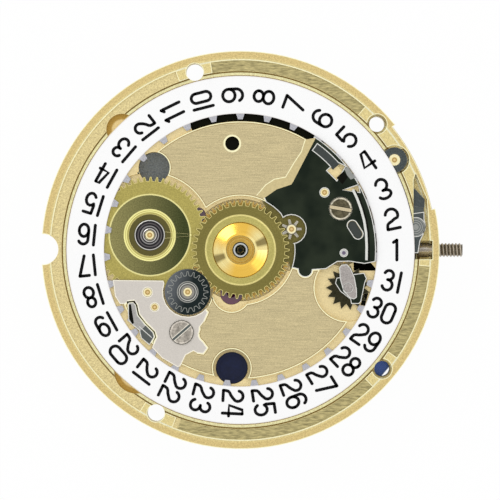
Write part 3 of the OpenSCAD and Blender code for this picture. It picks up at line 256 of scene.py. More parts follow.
def nearest(n, centres):
    """Distance to the nearest of some points, in millimetres."""
    out = n.polar(centres[0])[0]
    for centre in centres[1:]:
        out = n.math("MINIMUM", out, n.polar(centre)[0])
    return out


def train_material():
    """Gilt brass of the wheels, with a painted highlight along the cut edges."""
    n = Nodes("gilt_train")
    gilt = linear((206, 168, 88))
    grain = speckle(n)
    body = n.mix(0.5, shade(n, gilt, grain, 0.14), shade(n, gilt, speckle(n, 0.09), 0.14))
    # The cut edges are lightened: a painted highlight.
    color = n.mix(n.edge(), linear((246, 224, 150)), body)
    n.bump(grain, 0.002)
    return n.finish(color, n.spread(grain, 0.24, 0.38), 1.0, 0.5)


def steel_finish(name, rgb, rough, edge_highlight_rgb, size, depth):
    """Frosted steel with the given size and depth of grain, and a painted highlight along the edges."""
    n = Nodes(name)
    grain = speckle(n, size)
    # edge_highlight_rgb is a painted highlight along the edges.
    color = n.mix(n.edge(), linear(edge_highlight_rgb), shade(n, linear(rgb), grain, depth))
    n.bump(grain, 0.0015)
    return n.finish(color, n.spread(grain, rough - 0.05, rough + 0.07))


def rotor_material():
    """Satin steel, grained round the centre."""
    n = Nodes("satin_rotor")
    grain = round_grain(n, CENTRE)
    # The edges are lightened: a painted highlight.
    color = n.mix(n.edge(0.05), linear((230, 230, 226)), shade(n, linear((190, 188, 184)), grain, 0.1))
    n.bump(grain, 0.0015)
    return n.finish(color, n.spread(grain, 0.25, 0.37), 1.0, 0.5)


# The main plate: rim, bands, platform and pockets each have their own finish

# Outer radius and colour of the turned bands of the rim; the dark band from 11.60 is a line with painted
# shadow of the ring seat's wall, and the bright band from 12.37 is a painted highlight on the step's edge
RIM_BANDS = [(11.43, (238, 222, 170)), (11.60, (128, 104, 52)), (11.76, (226, 206, 146)),
             (12.37, (255, 244, 196)), (12.47, (222, 202, 142)), (12.58, (214, 192, 132))]
# Centre and radius of the two notches beside the calendar ring
FINGER_NOTCHES = [((-7.74, 7.87), 1.03), ((-6.8, -7.93), 1.45)]


def plate_material():
    """Champagne brass: brushed platform, frosted pockets and turned rim, with painted shade in the groove
    inside the ring and in the centre's bore, and painted highlight and shade along the edges.
    """
    n = Nodes("champagne_plate")
    z = n.axes()[2]
    radius, turn = n.polar()
    straight = straight_grain(n, 1.6, 0.045)
    fine = speckle(n, 0.055)
    coarse = speckle(n, 0.13)
    # Inside of the ring: platform, pockets and the deep floors
    platform = n.mix(0.45, shade(n, linear((200, 185, 142)), straight, 0.34),
                     shade(n, linear((198, 184, 144)), fine, 0.42))
    pocket_gold = linear((230, 211, 160))
    pocket = n.mix(0.5, shade(n, pocket_gold, fine, 0.2), shade(n, pocket_gold, coarse, 0.14))
    deep = shade(n, linear((214, 198, 156)), fine, 0.14)
    below = n.ramp(z, -0.085, -0.075)
    inner = n.mix(below, pocket, platform)
    inner = n.mix(n.ramp(z, -1.25, -1.1), deep, inner)
    # Outside of the ring: rim, the milled band with its blasted left part, and the notches
    milled = shade(n, linear((177, 165, 117)), straight_grain(n, 0.5, 0.1), 0.46)
    blasted = n.mix(0.5, shade(n, linear((222, 200, 146)), fine, 0.5),
                    shade(n, linear((226, 204, 150)), coarse, 0.4))
    band = n.mix(n.ramp(n.math("ABSOLUTE", turn), 0.303, 0.305), milled, blasted)
    rim_gold = (228, 206, 150)
    rim = n.mix(0.5, bands(n, radius, fine, rim_gold, RIM_BANDS, 0.45),
                bands(n, radius, coarse, rim_gold, RIM_BANDS, 0.3))
    outer = n.mix(n.times(n.math("SUBTRACT", 1.0, below), n.ramp(z, -0.2, -0.18)), rim, band)
    sunk = n.times(n.ramp(z, -0.3, -0.35), n.ramp(z, -0.5, -0.46))
    for centre, size in FINGER_NOTCHES:
        away = n.polar(centre)[0]
        # The notch floor turns brown towards its wall: painted shade.
        bowl = n.mix(n.ramp(away, size - 0.42, size - 0.3), shade(n, linear((226, 200, 140)), fine, 0.15),
                     shade(n, linear((176, 140, 68)), fine, 0.2))
        outer = n.mix(n.times(sunk, n.ramp(away, size + 0.03, size + 0.01)), outer, bowl)
    color = n.mix(n.ramp(radius, 11.42, 11.44), inner, outer)
    # Painted shade: near black in the groove under the ring's teeth, and in the bore of the centre
    groove_shade = n.times(n.ramp(radius, 8.405, 8.415), n.ramp(radius, 9.06, 9.05), n.ramp(z, -0.46, -0.5),
                     n.ramp(turn, 0.13, 0.14), n.ramp(turn, 0.318, 0.313))
    color = n.mix(groove_shade, color, linear((26, 26, 20)))
    color = n.mix(n.times(n.ramp(radius, 0.40, 0.38), n.ramp(z, 0.0, 0.1)), color, linear((24, 28, 26)))
    # Painted highlight on the upper edges, painted shade on the deep ones.
    edge = n.mix(n.ramp(z, -0.4, -0.2), linear((186, 158, 92)), linear((246, 230, 172)))
    color = n.mix(n.edge(0.04), edge, color)
    n.bump(n.math("ADD", straight, fine), 0.003)
    return n.finish(color, n.spread(straight, 0.36, 0.5))


def ring_material():
    """White lacquer on the band, greyed by painted shade near its edges; bare grey metal on the teeth and
    walls.
    """
    n = Nodes("calendar_ring_lacquer")
    radius, _ = n.polar()
    grain = speckle(n, 0.1)
    # The lacquer greys near its inner and outer edges: painted shade.
    rim = n.math("MAXIMUM", n.ramp(radius, 11.3, 11.38), n.ramp(radius, 8.98, 8.93))
    lacquer = n.mix(rim, shade(n, linear((250, 250, 250)), grain, 0.012),
                    shade(n, linear((232, 226, 222)), grain, 0.03))
    bare = shade(n, linear((182, 182, 188)), speckle(n, 0.07), 0.22)
    painted = n.ramp(radius, 8.90, 8.93)
    color = n.mix(painted, bare, lacquer)
    n.bump(grain, 0.0006)
    mat = n.finish(color, n.ramp(painted, 0.0, 1.0, 0.35, 0.42), 0.0)
    n.put(n.math("SUBTRACT", 1.0, painted), n.bsdf.inputs["Metallic"])
    return mat


def ink_material():
    """Black print, a little matt."""
    n = Nodes("numeral_ink")
    grain = speckle(n, 0.05)
    n.bump(grain, 0.0008)
    n.bsdf.inputs["Specular IOR Level"].default_value = 0.12
    return n.finish(shade(n, linear((7, 7, 9)), grain, 0.2), n.spread(grain, 0.55, 0.7), 0.0)


def washer_material():
    """Polished gold dome with a painted reflection in pale and gold sectors, and two darker radial marks on
    opposite sides.
    """
    n = Nodes("polished_gold")
    radius, turn = n.polar()
    swirl = round_grain(n, CENTRE, 0.1, 3.0)
    # Painted reflection: pale and gold sectors round the dome.
    pale = n.math("ABSOLUTE", n.math("SINE", n.times(n.math("SUBTRACT", turn, 0.06), 2 * math.pi)))
    gold = n.mix(n.ramp(pale, 0.35, 0.8), linear((255, 240, 170)), linear((250, 204, 90)))
    color = n.mix(n.ramp(swirl, 0.35, 0.65, 0.0, 0.35), gold, linear((228, 178, 70)))
    # Two darker radial marks on opposite sides of the dome.
    half = n.math("FRACT", n.times(n.math("SUBTRACT", turn, 0.056), 2.0))
    half = n.math("ABSOLUTE", n.math("SUBTRACT", half, 0.5))
    dark_marks = n.times(n.ramp(half, 0.43, 0.47), n.ramp(radius, 1.0, 1.15), 0.75)
    color = n.mix(dark_marks, color, linear((92, 74, 28)))
    n.bump(swirl, 0.001)
    n.radial_tangent()
    return n.finish(color, n.spread(swirl, 0.12, 0.2), 1.0, 0.6)


def hour_wheel_material():
    """Olive brass in turned bands."""
    n = Nodes("olive_hour_wheel")
    radius, _ = n.polar()
    grain = round_grain(n, CENTRE, 0.05, 10.0)
    fine = speckle(n, 0.08)
    hub = (196, 158, 74)
    stops = [(0.95, (150, 118, 44)), (1.84, (186, 176, 104)), (2.22, (226, 214, 140)), (2.30, (126, 117, 64))]
    color = n.mix(0.5, bands(n, radius, grain, hub, stops, 0.2), bands(n, radius, fine, hub, stops, 0.3))
    # The edges are lightened: a painted highlight.
    color = n.mix(n.edge(), linear((226, 212, 136)), color)
    n.bump(grain, 0.002)
    n.radial_tangent()
    return n.finish(color, n.spread(grain, 0.28, 0.42), 1.0, 0.4)


# Outer radius and colour of the calendar driving wheel's bands, at the hub and at the rim
DRIVER_BANDS = [(1.02, (96, 90, 52)), (1.37, (186, 176, 104)), (1.50, (250, 240, 160)),
                (1.565, (170, 158, 84)), (1.60, (250, 240, 160)), (1.70, (116, 112, 66))]
DRIVER_RIM = [(2.61, (250, 238, 166)), (2.70, (176, 164, 92))]


def driver_material():
    """Bands of the calendar driving wheel, from the dark hub to the toothed rim, with painted shade across
    the outer annulus and a painted highlight along the edges.
    """
    n = Nodes("olive_driving_wheel")
    radius, _ = n.polar(DRIVER)
    x = n.axes()[0]
    grain = round_grain(n, DRIVER, 0.05, 8.0)
    fine = speckle(n, 0.08)
    inner = bands(n, radius, grain, (60, 58, 50), DRIVER_BANDS, 0.12)
    # Painted shade: the outer annulus is lighter on the left and darker on the right.
    across = n.ramp(x, DRIVER[0] - 2.4, DRIVER[0] + 2.2)
    dark = n.mix(across, shade(n, linear((142, 136, 88)), fine, 0.28),
                 shade(n, linear((66, 72, 42)), fine, 0.38))
    color = n.mix(n.ramp(radius, 1.71, 1.73), inner, dark)
    rim = bands(n, radius, fine, (250, 238, 166), DRIVER_RIM, 0.2)
    color = n.mix(n.ramp(radius, 2.60, 2.62), color, rim)
    # The edges are lightened: a painted highlight.
    color = n.mix(n.edge(), linear((250, 238, 170)), color)
    n.bump(grain, 0.002)
    return n.finish(color, n.spread(grain, 0.26, 0.4))


def minute_material():
    """Olive wheel with the bare steel leaves of its pinion."""
    n = Nodes("minute_wheel_brass")
    radius, _ = n.polar(MINUTE)
    z = n.axes()[2]
    grain = speckle(n, 0.07)
    leaves = bands(n, radius, grain, (214, 212, 206), [(0.30, (120, 116, 104)), (0.36, (176, 172, 160))], 0.3)
    color = n.mix(n.ramp(z, -0.6, -0.5), shade(n, linear((112, 104, 58)), grain, 0.3), leaves)
    # The edges are lightened: a painted highlight.
    color = n.mix(n.edge(0.02), linear((225, 215, 190)), color)
    n.bump(grain, 0.002)
    return n.finish(color, n.spread(grain, 0.28, 0.4))


def cannon_material():
    """Grey steel tube with its bore painted dark as shade."""
    n = Nodes("cannon_steel")
    radius, _ = n.polar()
    grain = round_grain(n, CENTRE, 0.04, 4.0)
    # The innermost colour is painted shade in the bore.
    stops = [(0.345, (196, 198, 196)), (0.44, (150, 148, 140)), (0.49, (96, 84, 52))]
    color = bands(n, radius, grain, (22, 26, 24), stops, 0.14)
    n.bump(grain, 0.001)
    return n.finish(color, n.spread(grain, 0.22, 0.34))


def seconds_material():
    """Gilt wheel whose arbor darkens where it stands in the dark tube."""
    n = Nodes("seconds_wheel_gilt")
    z = n.axes()[2]
    grain = speckle(n, 0.08)
    color = n.mix(n.ramp(z, -1.3, -1.1), shade(n, linear((206, 168, 88)), grain, 0.14),
                  shade(n, linear((26, 30, 28)), grain, 0.2))
    color = n.mix(n.edge(), linear((120, 104, 64)), color)
    n.bump(grain, 0.001)
    return n.finish(color, n.spread(grain, 0.3, 0.4))


# Outer radius and colour of the steel rings round the driving wheel's pin
HUB_RINGS = [(0.34, (36, 36, 38)), (0.39, (196, 192, 186)), (0.45, (60, 58, 60)), (0.54, (150, 148, 146)),
             (0.61, (40, 38, 42)), (0.72, (96, 92, 92)), (0.80, (44, 42, 46)), (0.93, (214, 212, 204)),
             (0.985, (72, 68, 48))]


def hub_material():
    """Steel rings round the pin of the calendar driving wheel."""
    n = Nodes("driving_wheel_hub")
    radius, _ = n.polar(DRIVER)
    grain = round_grain(n, DRIVER, 0.05, 3.0)
    color = bands(n, radius, grain, (196, 192, 186), HUB_RINGS, 0.25)
    n.bump(grain, 0.002)
    return n.finish(color, n.spread(grain, 0.16, 0.28))


def inter_material():
    """Dark polished disc with a painted reflection that pales it towards its upper left, with light rings at
    the hub.
    """
    n = Nodes("intermediate_wheel_steel")
    radius, _ = n.polar(INTER)
    x, y, _ = n.axes()
    grain = round_grain(n, INTER, 0.05, 4.0)
    # Painted reflection: the disc pales towards its upper left.
    slope = n.math("ADD", n.math("SUBTRACT", x, INTER[0]), n.times(n.math("SUBTRACT", y, INTER[1]), -0.35))
    disc = n.mix(n.ramp(slope, -1.7, 0.1), shade(n, linear((112, 116, 120)), grain, 0.2),
                 shade(n, linear((34, 42, 42)), grain, 0.25))
    stops = [(0.33, (150, 146, 138)), (0.44, (90, 92, 90)), (0.53, (206, 204, 196)), (0.58, (60, 64, 64)),
             (0.65, (206, 204, 196))]
    hub = bands(n, radius, grain, (176, 172, 164), stops, 0.15)
    color = n.mix(n.ramp(radius, 0.69, 0.71), hub, disc)
    # The edges are lightened: a painted highlight.
    color = n.mix(n.edge(0.02), linear((176, 178, 172)), color)
    n.bump(grain, 0.001)
    return n.finish(color, n.spread(grain, 0.16, 0.28))


# Centres of the turned pins, one of them of steel
STEEL_STUD = (6.75, -0.19)
STUD_PLACES = [MINUTE, INTER, DRIVER, SETTING, STAR, (5.49, 3.76), STEEL_STUD, (-6.07, -2.76),
               (-5.61, -3.73), (10.07, 5.89)]


def stud_material():
    """Turned brass: a pale rim round a darker, dimpled middle. One stud is steel."""
    n = Nodes("turned_brass")
    radius = nearest(n, STUD_PLACES)
    grain = speckle(n, 0.05)
    stops = [(0.09, (168, 138, 76)), (0.14, (214, 186, 122)), (0.185, (250, 236, 190))]
    color = bands(n, radius, grain, (226, 196, 140), stops, 0.1)
    stops = [(0.1, (150, 148, 156)), (0.15, (222, 220, 218))]
    steel_pin = bands(n, radius, grain, (112, 100, 122), stops, 0.1)
    color = n.mix(n.ramp(n.polar(STEEL_STUD)[0], 0.5, 0.45), color, steel_pin)
    n.bump(grain, 0.002)
    return n.finish(color, n.spread(grain, 0.2, 0.32))


def screw_head_material(name, centre, outer, face, rim):
    """A mottled screw head with a bright turned rim."""
    n = Nodes(name)
    radius, _ = n.polar(centre)
    x, y, z = n.axes()
    mottle = n.noise(n.vector(x, y, z), 5.0, 3.0, 0.65)
    color = bands(n, radius, mottle, face, [(outer - 0.15, rim), (outer - 0.05, (40, 40, 34))], 0.5)
    # The edges are lightened: a painted highlight.
    color = n.mix(n.edge(0.025), linear((220, 214, 198)), color)
    n.bump(mottle, 0.002)
    return n.finish(color, n.spread(mottle, 0.18, 0.34))


def line_material(name, rgb, rough=0.28):
    """A flat colour: a painted highlight along a cut edge, a painted shadow line beside it, or a facet."""
    n = Nodes(name)
    grain = speckle(n, 0.12)
    n.bump(grain, 0.0008)
    return n.finish(shade(n, linear(rgb), grain, 0.08), n.spread(grain, rough, rough + 0.1))


def ruby_material():
    """Clear dark red stone."""
    n = Nodes("ruby")
    grain = speckle(n, 0.2)
    n.bump(grain, 0.0003)
    mat = n.finish(shade(n, linear((84, 18, 56)), grain, 0.12), n.spread(grain, 0.05, 0.1), 0.0)
    n.bsdf.inputs["Coat Weight"].default_value = 1.0
    n.bsdf.inputs["Coat Roughness"].default_value = 0.03
    return mat


def mirror_material():
    """Black polished plate: a dark mirror with a painted highlight along its edges and a few fine scratches.
    """
    n = Nodes("black_mirror")
    x, y, z = n.axes()
    dust = n.noise(n.vector(x, y, z), 9.0, 4.0, 0.7)
    cloud = n.noise(n.vector(x, y, z), 0.6, 2.0, 0.5)
    base = n.mix(n.ramp(cloud, 0.35, 0.65), linear((31, 38, 31)), linear((46, 53, 42)))
    base = n.mix(n.ramp(dust, 0.70, 0.76), base, linear((104, 110, 100)))
    # The edges are lightened: a painted highlight.
    color = n.mix(n.edge(0.04), linear((214, 214, 208)), base)
    n.bump(dust, 0.0006)
    return n.finish(color, n.ramp(dust, 0.3, 0.75, 0.1, 0.28))


def stem_material():
    """Bright turned steel with a thin painted dark reflection along its top, painted shade in the grooves of
    its thread, and a painted highlight along its edges.
    """
    n = Nodes("stem_steel")
    x, y, z = n.axes()
    grain = speckle(n, 0.08)
    aside = n.math("ABSOLUTE", y)
    # Painted reflection: a thin dark line along the top of the shank.
    dark_reflection = n.times(n.ramp(aside, 0.04, 0.02), n.ramp(x, 11.6, 11.7), n.ramp(x, 12.5, 12.4), 0.8)
    body = n.mix(n.ramp(x, 12.7, 12.9), shade(n, linear((206, 198, 186)), grain, 0.12),
                 shade(n, linear((176, 166, 150)), grain, 0.2))
    color = n.mix(dark_reflection, body, linear((84, 70, 60)))
    up = n.math("ADD", z, STEM_DEPTH)
    axis = n.math("SQRT", n.math("ADD", n.times(y, y), n.times(up, up)))
    # Painted shade in the roots of the thread.
    groove_shade = n.times(n.ramp(axis, 0.425, 0.385), n.ramp(x, 12.95, 13.05))
    color = n.mix(groove_shade, color, linear((96, 86, 66)))
    # The edges are lightened: a painted highlight.
    color = n.mix(n.edge(), linear((214, 206, 190)), color)
    n.bump(grain, 0.0015)
    return n.finish(color, n.spread(grain, 0.24, 0.34), 0.6)


def weight_material():
    """Polished weight, with a painted blue reflection where it shows through the rim's hole, and a painted
    highlight along its edges.
    """
    n = Nodes("polished_weight")
    grain = round_grain(n, CENTRE)
    z = n.axes()[2]
    # Painted reflection: the top face is blue round the rim's hole.
    aside = n.ramp(n.polar(RIM_WINDOW)[0], 0.8, 1.1)
    away = n.math("MAXIMUM", aside, n.ramp(z, WEIGHT_TOP - 0.1, WEIGHT_TOP - 0.2))
    base = n.mix(away, shade(n, linear((66, 86, 140)), grain, 0.12),
                 shade(n, linear((164, 164, 162)), grain, 0.12))
    # The edges are lightened: a painted highlight.
    edge = n.mix(away, linear((200, 210, 230)), linear((218, 218, 214)))
    color = n.mix(n.edge(0.08), edge, base)
    n.bump(grain, 0.0015)
    return n.finish(color, n.spread(grain, 0.15, 0.27), 1.0, 0.4)


def blue_void_material():
    """Dark blue polish at the bottom of a deep hole."""
    n = Nodes("deep_blue_setting")
    grain = speckle(n, 0.3)
    n.bump(grain, 0.0005)
    return n.finish(shade(n, linear((14, 22, 52)), grain, 0.25), n.spread(grain, 0.3, 0.45), 0.6)


MATERIALS = {
    "plate": plate_material(),
    "ring": ring_material(),
    "ink": ink_material(),
    "washer": washer_material(),
    "hour": hour_wheel_material(),
    "driver": driver_material(),
    "minute": minute_material(),
    "ruby": ruby_material(),
    "mirror": mirror_material(),
    "blue": blue_void_material(),
    "stud": stud_material(),
    "cannon": cannon_material(),
    "seconds": seconds_material(),
    "hub": hub_material(),
    "inter": inter_material(),
    "plate_screw": screw_head_material("plate_screw_head", DATE_SCREW, 0.77, (96, 90, 70), (214, 206, 184)),
    "bridge_screw": screw_head_material("bridge_screw_head", BRIDGE_SCREW, 0.8, (168, 161, 150),
                                        (206, 198, 186)),
    "cream_line": line_material("edge_highlight_cream", (255, 244, 200)),
    "brown_line": line_material("edge_shadow_brown", (150, 120, 66), 0.4),
    "pale_line": line_material("edge_highlight_pale", (222, 222, 216)),
    "olive_line": line_material("edge_highlight_olive", (226, 212, 140)),
    "dim_line": line_material("edge_highlight_dim", (150, 152, 146)),
    "grey_facet": line_material("grey_facet", (150, 152, 148), 0.25),
    "dark_facet": line_material("dark_facet", (92, 98, 96), 0.3),
    "ivory_line": line_material("edge_highlight_ivory", (244, 238, 222)),
    "black_line": line_material("gap_shadow", (24, 24, 20), 0.5),
    "bevel_gold": line_material("bevel_gold", (206, 190, 142), 0.36),
    "shadow": line_material("dark_shade", (92, 96, 94), 0.34),
    "slot_beige": line_material("slot_beige", (206, 192, 158)),
    "window_floor_shade": line_material("window_floor_shade", (70, 74, 72), 0.4),
    "train": train_material(),
    "satin": steel_finish("satin_steel", (208, 202, 194), 0.42, (226, 222, 216), 0.06, 0.07),
    "frosted": steel_finish("frosted_bridge", (150, 158, 164), 0.5, (200, 200, 200), 0.11, 0.42),
    "rotor": rotor_material(),
    "weight": weight_material(),
    "steel": steel_finish("polished_steel", (172, 170, 166), 0.2, (226, 224, 220), 0.1, 0.12),
    "screw": steel_finish("screw_steel", (160, 156, 148), 0.2, (216, 212, 204), 0.16, 0.35),
    "dark": steel_finish("dark_steel", (58, 66, 70), 0.25, (176, 180, 182), 0.12, 0.3),
    "keyless": steel_finish("keyless_steel", (78, 84, 84), 0.34, (168, 168, 164), 0.08, 0.3),
    "star": steel_finish("star_steel", (52, 50, 36), 0.3, (150, 144, 120), 0.1, 0.35),
    "blade": steel_finish("blade_steel", (168, 162, 158), 0.4, (206, 204, 200), 0.06, 0.3),
    "stem": stem_material(),
    "spring": steel_finish("blued_spring", (70, 80, 110), 0.3, (150, 160, 190), 0.1, 0.2),
}

# Which finish each node of the frame has
FINISH = {
    "plate": ["main_plate"],
    "ring": ["date_ring"],
    "washer": ["hour_washer"],
    "hour": ["hour_wheel"],
    "driver": ["date_driving_wheel"],
    "minute": ["minute_wheel"],
    "ruby": ["plate_jewels", "bridge_jewels"],
    "mirror": ["date_plate", "corrector_cover"],
    "blue": ["shock_settings"],
    "stud": ["wheel_studs"],
    "train": ["minute_driving_wheel", "setting_wheel", "barrel_drum", "barrel_cover", "great_wheel",
              "third_wheel", "escape_wheel", "balance_wheel", "reversing_wheel_a", "reversing_wheel_b",
              "reduction_wheel", "rotor_gear"],
    "satin": ["date_bridge", "barrel_bridge", "pallet_bridge", "balance_bridge", "automatic_bridge"],
    "frosted": ["train_bridge"],
    "rotor": ["rotor_plate"],
    "weight": ["rotor_weight"],
    "cannon": ["cannon_pinion"],
    "seconds": ["seconds_wheel"],
    "inter": ["intermediate_date_wheel"],
    "plate_screw": ["date_plate_screw"],
    "bridge_screw": ["date_bridge_screw"],
    "steel": ["date_jumper", "winding_pinion", "sliding_pinion", "crown_wheel", "ratchet_wheel", "click",
              "click_spring", "barrel_arbor", "mainspring", "regulator", "stop_lever", "rotor_bearing"],
    "screw": ["bridge_screws", "automatic_bridge_screws", "rotor_screw"],
    "dark": ["pallet_fork"],
    "keyless": ["setting_lever", "setting_lever_spring", "yoke"],
    "star": ["date_corrector"],
    "blade": ["corrector_lever"],
    "stem": ["winding_stem"],
    "spring": ["balance_spring"],
}

for finish, nodes in FINISH.items():
    for node in nodes:
        mesh = frame["nodes"][node].data
        mesh.materials.clear()
        mesh.materials.append(MATERIALS[finish])


def thicken(bm, depth):
    """Gives flat faces a thickness below them."""
    made = bmesh.ops.extrude_face_region(bm, geom=bm.faces[:])["geom"]
    for item in made:
        if isinstance(item, bmesh.types.BMVert):
            item.co.z -= depth


def sheet(bm, outlines, z):
    """Flat faces at a height that share the corners they have in common."""
    corners = {}
    for outline in outlines:
        spots = []
        for x, y in outline:
            key = (round(x, 5), round(y, 5))
            if key not in corners:
                corners[key] = bm.verts.new((x, y, z))
            spots.append(corners[key])
        bm.faces.new(spots)


def join_rings(bm, a, b):
    """Faces between two closed rows of corners."""
    for i in range(len(a)):
        j = (i + 1) % len(a)
        bm.faces.new((a[i], a[j], b[j], b[i]))


def add_mesh(name, bm, material, body):
    """Turns a bmesh in millimetres into a piece that rides on a body."""
    mesh = bpy.data.meshes.new(name)
    bmesh.ops.scale(bm, vec=(MM, MM, MM), verts=bm.verts)
    bmesh.ops.recalc_face_normals(bm, faces=bm.faces)
    bm.to_mesh(mesh)
    bm.free()
    obj = bpy.data.objects.new(name, mesh)
    bpy.context.scene.collection.objects.link(obj)
    mesh.materials.append(MATERIALS[material])
    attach(obj, body)
    return obj


# Numerals of the calendar ring: strokes with round ends

DIGIT_H = 1.5
STROKE = 0.2
DAYS = 31
# Upper face and thickness of the print
PRINT_TOP = Z_RING + 0.01
PRINT_T = 0.014


def bow(cx, cy, rx, ry, a0, a1, steps=12):
    """Points along an ellipse from angle a0 to a1, in degrees."""
    out = []
    for i in range(steps + 1):
        a = math.radians(a0 + (a1 - a0) * i / steps)
        out.append((cx + rx * math.cos(a), cy + ry * math.sin(a)))
    return out


def digit_strokes(d, w, flag):
    """Centre lines of a digit in a box w wide and as high as the stroke allows, origin at its middle."""
    h = DIGIT_H - STROKE
    w = w - STROKE
    r = w / 2
    top, low = h / 2, -h / 2
    bowl = h * 0.31
    if d == 0:
        return [bow(0, top - r, r, r, 0, 180) + bow(0, low + r, r, r, 180, 360) + [(r, top - r)]]
    if d == 1:
        if not flag:
            return [[(0, top), (0, low)]]
        post = 0.12 * w
        return [[(post, top), (post, low)], [(post, top), (-0.12, top - 0.15)]]
    if d == 2:
        neck = [(0.35 * r, low + 0.48 * h), (-0.12 * r, low + 0.385 * h), (-0.6 * r, low + 0.32 * h),
                (-0.87 * r, low + 0.245 * h), (-0.97 * r, low + 0.12 * h), (-r, low)]
        return [bow(0, top - r, r, r, 168, -30) + neck, [(-r, low), (r, low)]]
    if d == 3:
        upper = r * 0.92
        lower = (h - 2 * upper) / 2
        return [bow(0, top - upper, r * 0.9, upper, 160, -90),
                bow(0, low + lower, r, lower, 90, -160), [(-0.1 * r, top - 2 * upper), (0, top - 2 * upper)]]
    if d == 4:
        post, bar = 0.26 * w, low + 0.32 * h
        return [[(post, top), (-0.12 * w, top), (-r, bar), (r, bar)], [(post, top), (post, low)]]
    if d == 5:
        return [[(r * 0.9, top), (-r * 0.8, top)], [(-r * 0.8, top), (-r * 0.9, top - 0.42 * h)],
                bow(0, low + bowl, r, bowl, 142, -150)]
    if d == 6:
        return [bow(0, low + bowl, r, bowl, 0, 360, 20), [(-r, low + bowl)] + bow(0, top - r, r, r, 180, 28)]
    if d == 7:
        return [[(-r, top), (r, top)], [(r, top), (-0.3 * r, low)]]
    if d == 8:
        upper = h * 0.235
        lower = h / 2 - upper
        return [bow(0, top - upper, r * 0.86, upper, 0, 360, 20), bow(0, low + lower, r, lower, 0, 360, 20)]
    return [bow(0, top - bowl, r, bowl, 0, 360, 20), [(r, top - bowl)] + bow(0, low + r, r, r, 0, -152)]


def ink_stroke(bm, points, place):
    """A flat stroke with round ends; place turns stroke points into ring points."""
    half = STROKE / 2
    left, right = [], []
    count = len(points)
    for i, p in enumerate(points):
        a = points[max(0, i - 1)]
        b = points[min(count - 1, i + 1)]
        dx, dy = b[0] - a[0], b[1] - a[1]
        size = math.hypot(dx, dy) or 1.0
        nx, ny = -dy / size * half, dx / size * half
        left.append((p[0] + nx, p[1] + ny))
        right.append((p[0] - nx, p[1] - ny))
    cap = []
    for end, start in ((points[-1], right[-1]), (points[0], left[0])):
        a0 = math.atan2(start[1] - end[1], start[0] - end[0])
        turns = [a0 + math.pi * k / 6 for k in range(1, 6)]
        cap.append([(end[0] + half * math.cos(a), end[1] + half * math.sin(a)) for a in turns])
    strips = [(left[i], right[i], right[i + 1], left[i + 1]) for i in range(count - 1)]
    ends = [[right[-1]] + cap[0] + [left[-1]], [left[0]] + cap[1] + [right[0]]]
    sheet(bm, [[place(q) for q in outline] for outline in strips + ends], PRINT_TOP)


def ring_place(angle, radius):
    """Puts a point with x outward and y along the ring's turn at a place of the ring."""
    a = math.radians(angle)
    ca, sa = math.cos(a), math.sin(a)

    def place(q):
        x, y = radius + q[0], q[1]
        return (x * ca - y * sa, x * sa + y * ca)

    return place


def numeral_layout(day):
    """The digits of a day, each with its middle radius, its width and whether the 1 has its flag."""
    if day < 10:
        return [(day, 10.12, 1.02, True)]
    first, second = divmod(day, 10)
    if day == 11:
        return [(1, 9.72, 0.5, True), (1, 10.42, 0.5, True)]
    if first == 1:
        return [(1, 9.6, 0.4, False), (second, 10.3, 0.82, False)]
    if second == 1:
        return [(first, 9.84, 0.86, True), (1, 10.6, 0.4, False)]
    return [(first, 9.55, 0.88, True), (second, 10.52, 0.9, True)]


def numerals():
    """The days 1 to 31 round the ring, as one thin print."""
    bm = bmesh.new()
    for day in range(1, DAYS + 1):
        angle = (day - 1) * 360 / DAYS
        for digit, radius, width, flag in numeral_layout(day):
            place = ring_place(angle, radius)
            for stroke in digit_strokes(digit, width, flag):
                ink_stroke(bm, stroke, place)
    thicken(bm, PRINT_T)
    add_mesh("calendar_numerals", bm, "ink", "calendar_ring")


numerals()


# Turned details: lathed profiles about an upright axis


def lathe(name, centre, profile, material, body):
    """A closed profile of (radius, height) points turned about an upright axis."""
    steps = 72
    turns = [2 * math.pi * i / steps for i in range(steps)]
    bm = bmesh.new()
    rings = []
    for r, z in profile:
        corners = [(centre[0] + r * math.cos(t), centre[1] + r * math.sin(t), z) for t in turns]
        rings.append([bm.verts.new(c) for c in corners])
    for a, b in zip(rings, rings[1:] + rings[:1]):
        join_rings(bm, a, b)
    add_mesh(name, bm, material, body)


# The stem behind its thread, as places along x and the radius there
SHANK = [(13.0, 0.44), (12.45, 0.42), (12.36, 0.42), (12.35, 0.46), (11.66, 0.46), (11.65, 0.22),
         (11.28, 0.22), (11.27, 0.42), (9.3, 0.42), (9.29, 0.25), (7.6, 0.25)]


def threaded_stem():
    """The stem with the helical thread of its outer end, in place of the frame's plain cylinder."""
    x0, x1 = 13.0, 14.55
    pitch, crest, root = 0.225, 0.455, 0.36
    flank, land = 1.35, 0.1
    chamfer, chamfer_length = 0.05, 0.1
    steps, rows = 48, 140
    bm = bmesh.new()

    def corner(x, r, t):
        a = 2 * math.pi * t
        return bm.verts.new((x, r * math.cos(a), r * math.sin(a) - STEM_DEPTH))

    thread = []
    for k in range(rows + 1):
        x = x0 + (x1 - x0) * k / rows
        ring = []
        for t in (i / steps for i in range(steps)):
            wave = abs(((x - x0) / pitch - t) % 1.0 - 0.5) * 2
            r = root + (crest - root) * min(1.0, max(0.0, flank * wave - land))
            r -= chamfer * max(0.0, 1 - (x1 - x) / chamfer_length)
            ring.append(corner(x, r, t))
        thread.append(ring)
    for a, b in zip(thread, thread[1:]):
        join_rings(bm, a, b)
    bm.faces.new(thread[-1])
    shank = [[corner(x, r, i / steps) for i in range(steps)] for x, r in SHANK]
    for a, b in zip([thread[0]] + shank, shank):
        join_rings(bm, a, b)
    bm.faces.new(shank[-1])
    stem = add_mesh("threaded_stem", bm, "stem", "stem")
    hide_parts("winding_stem")


threaded_stem()

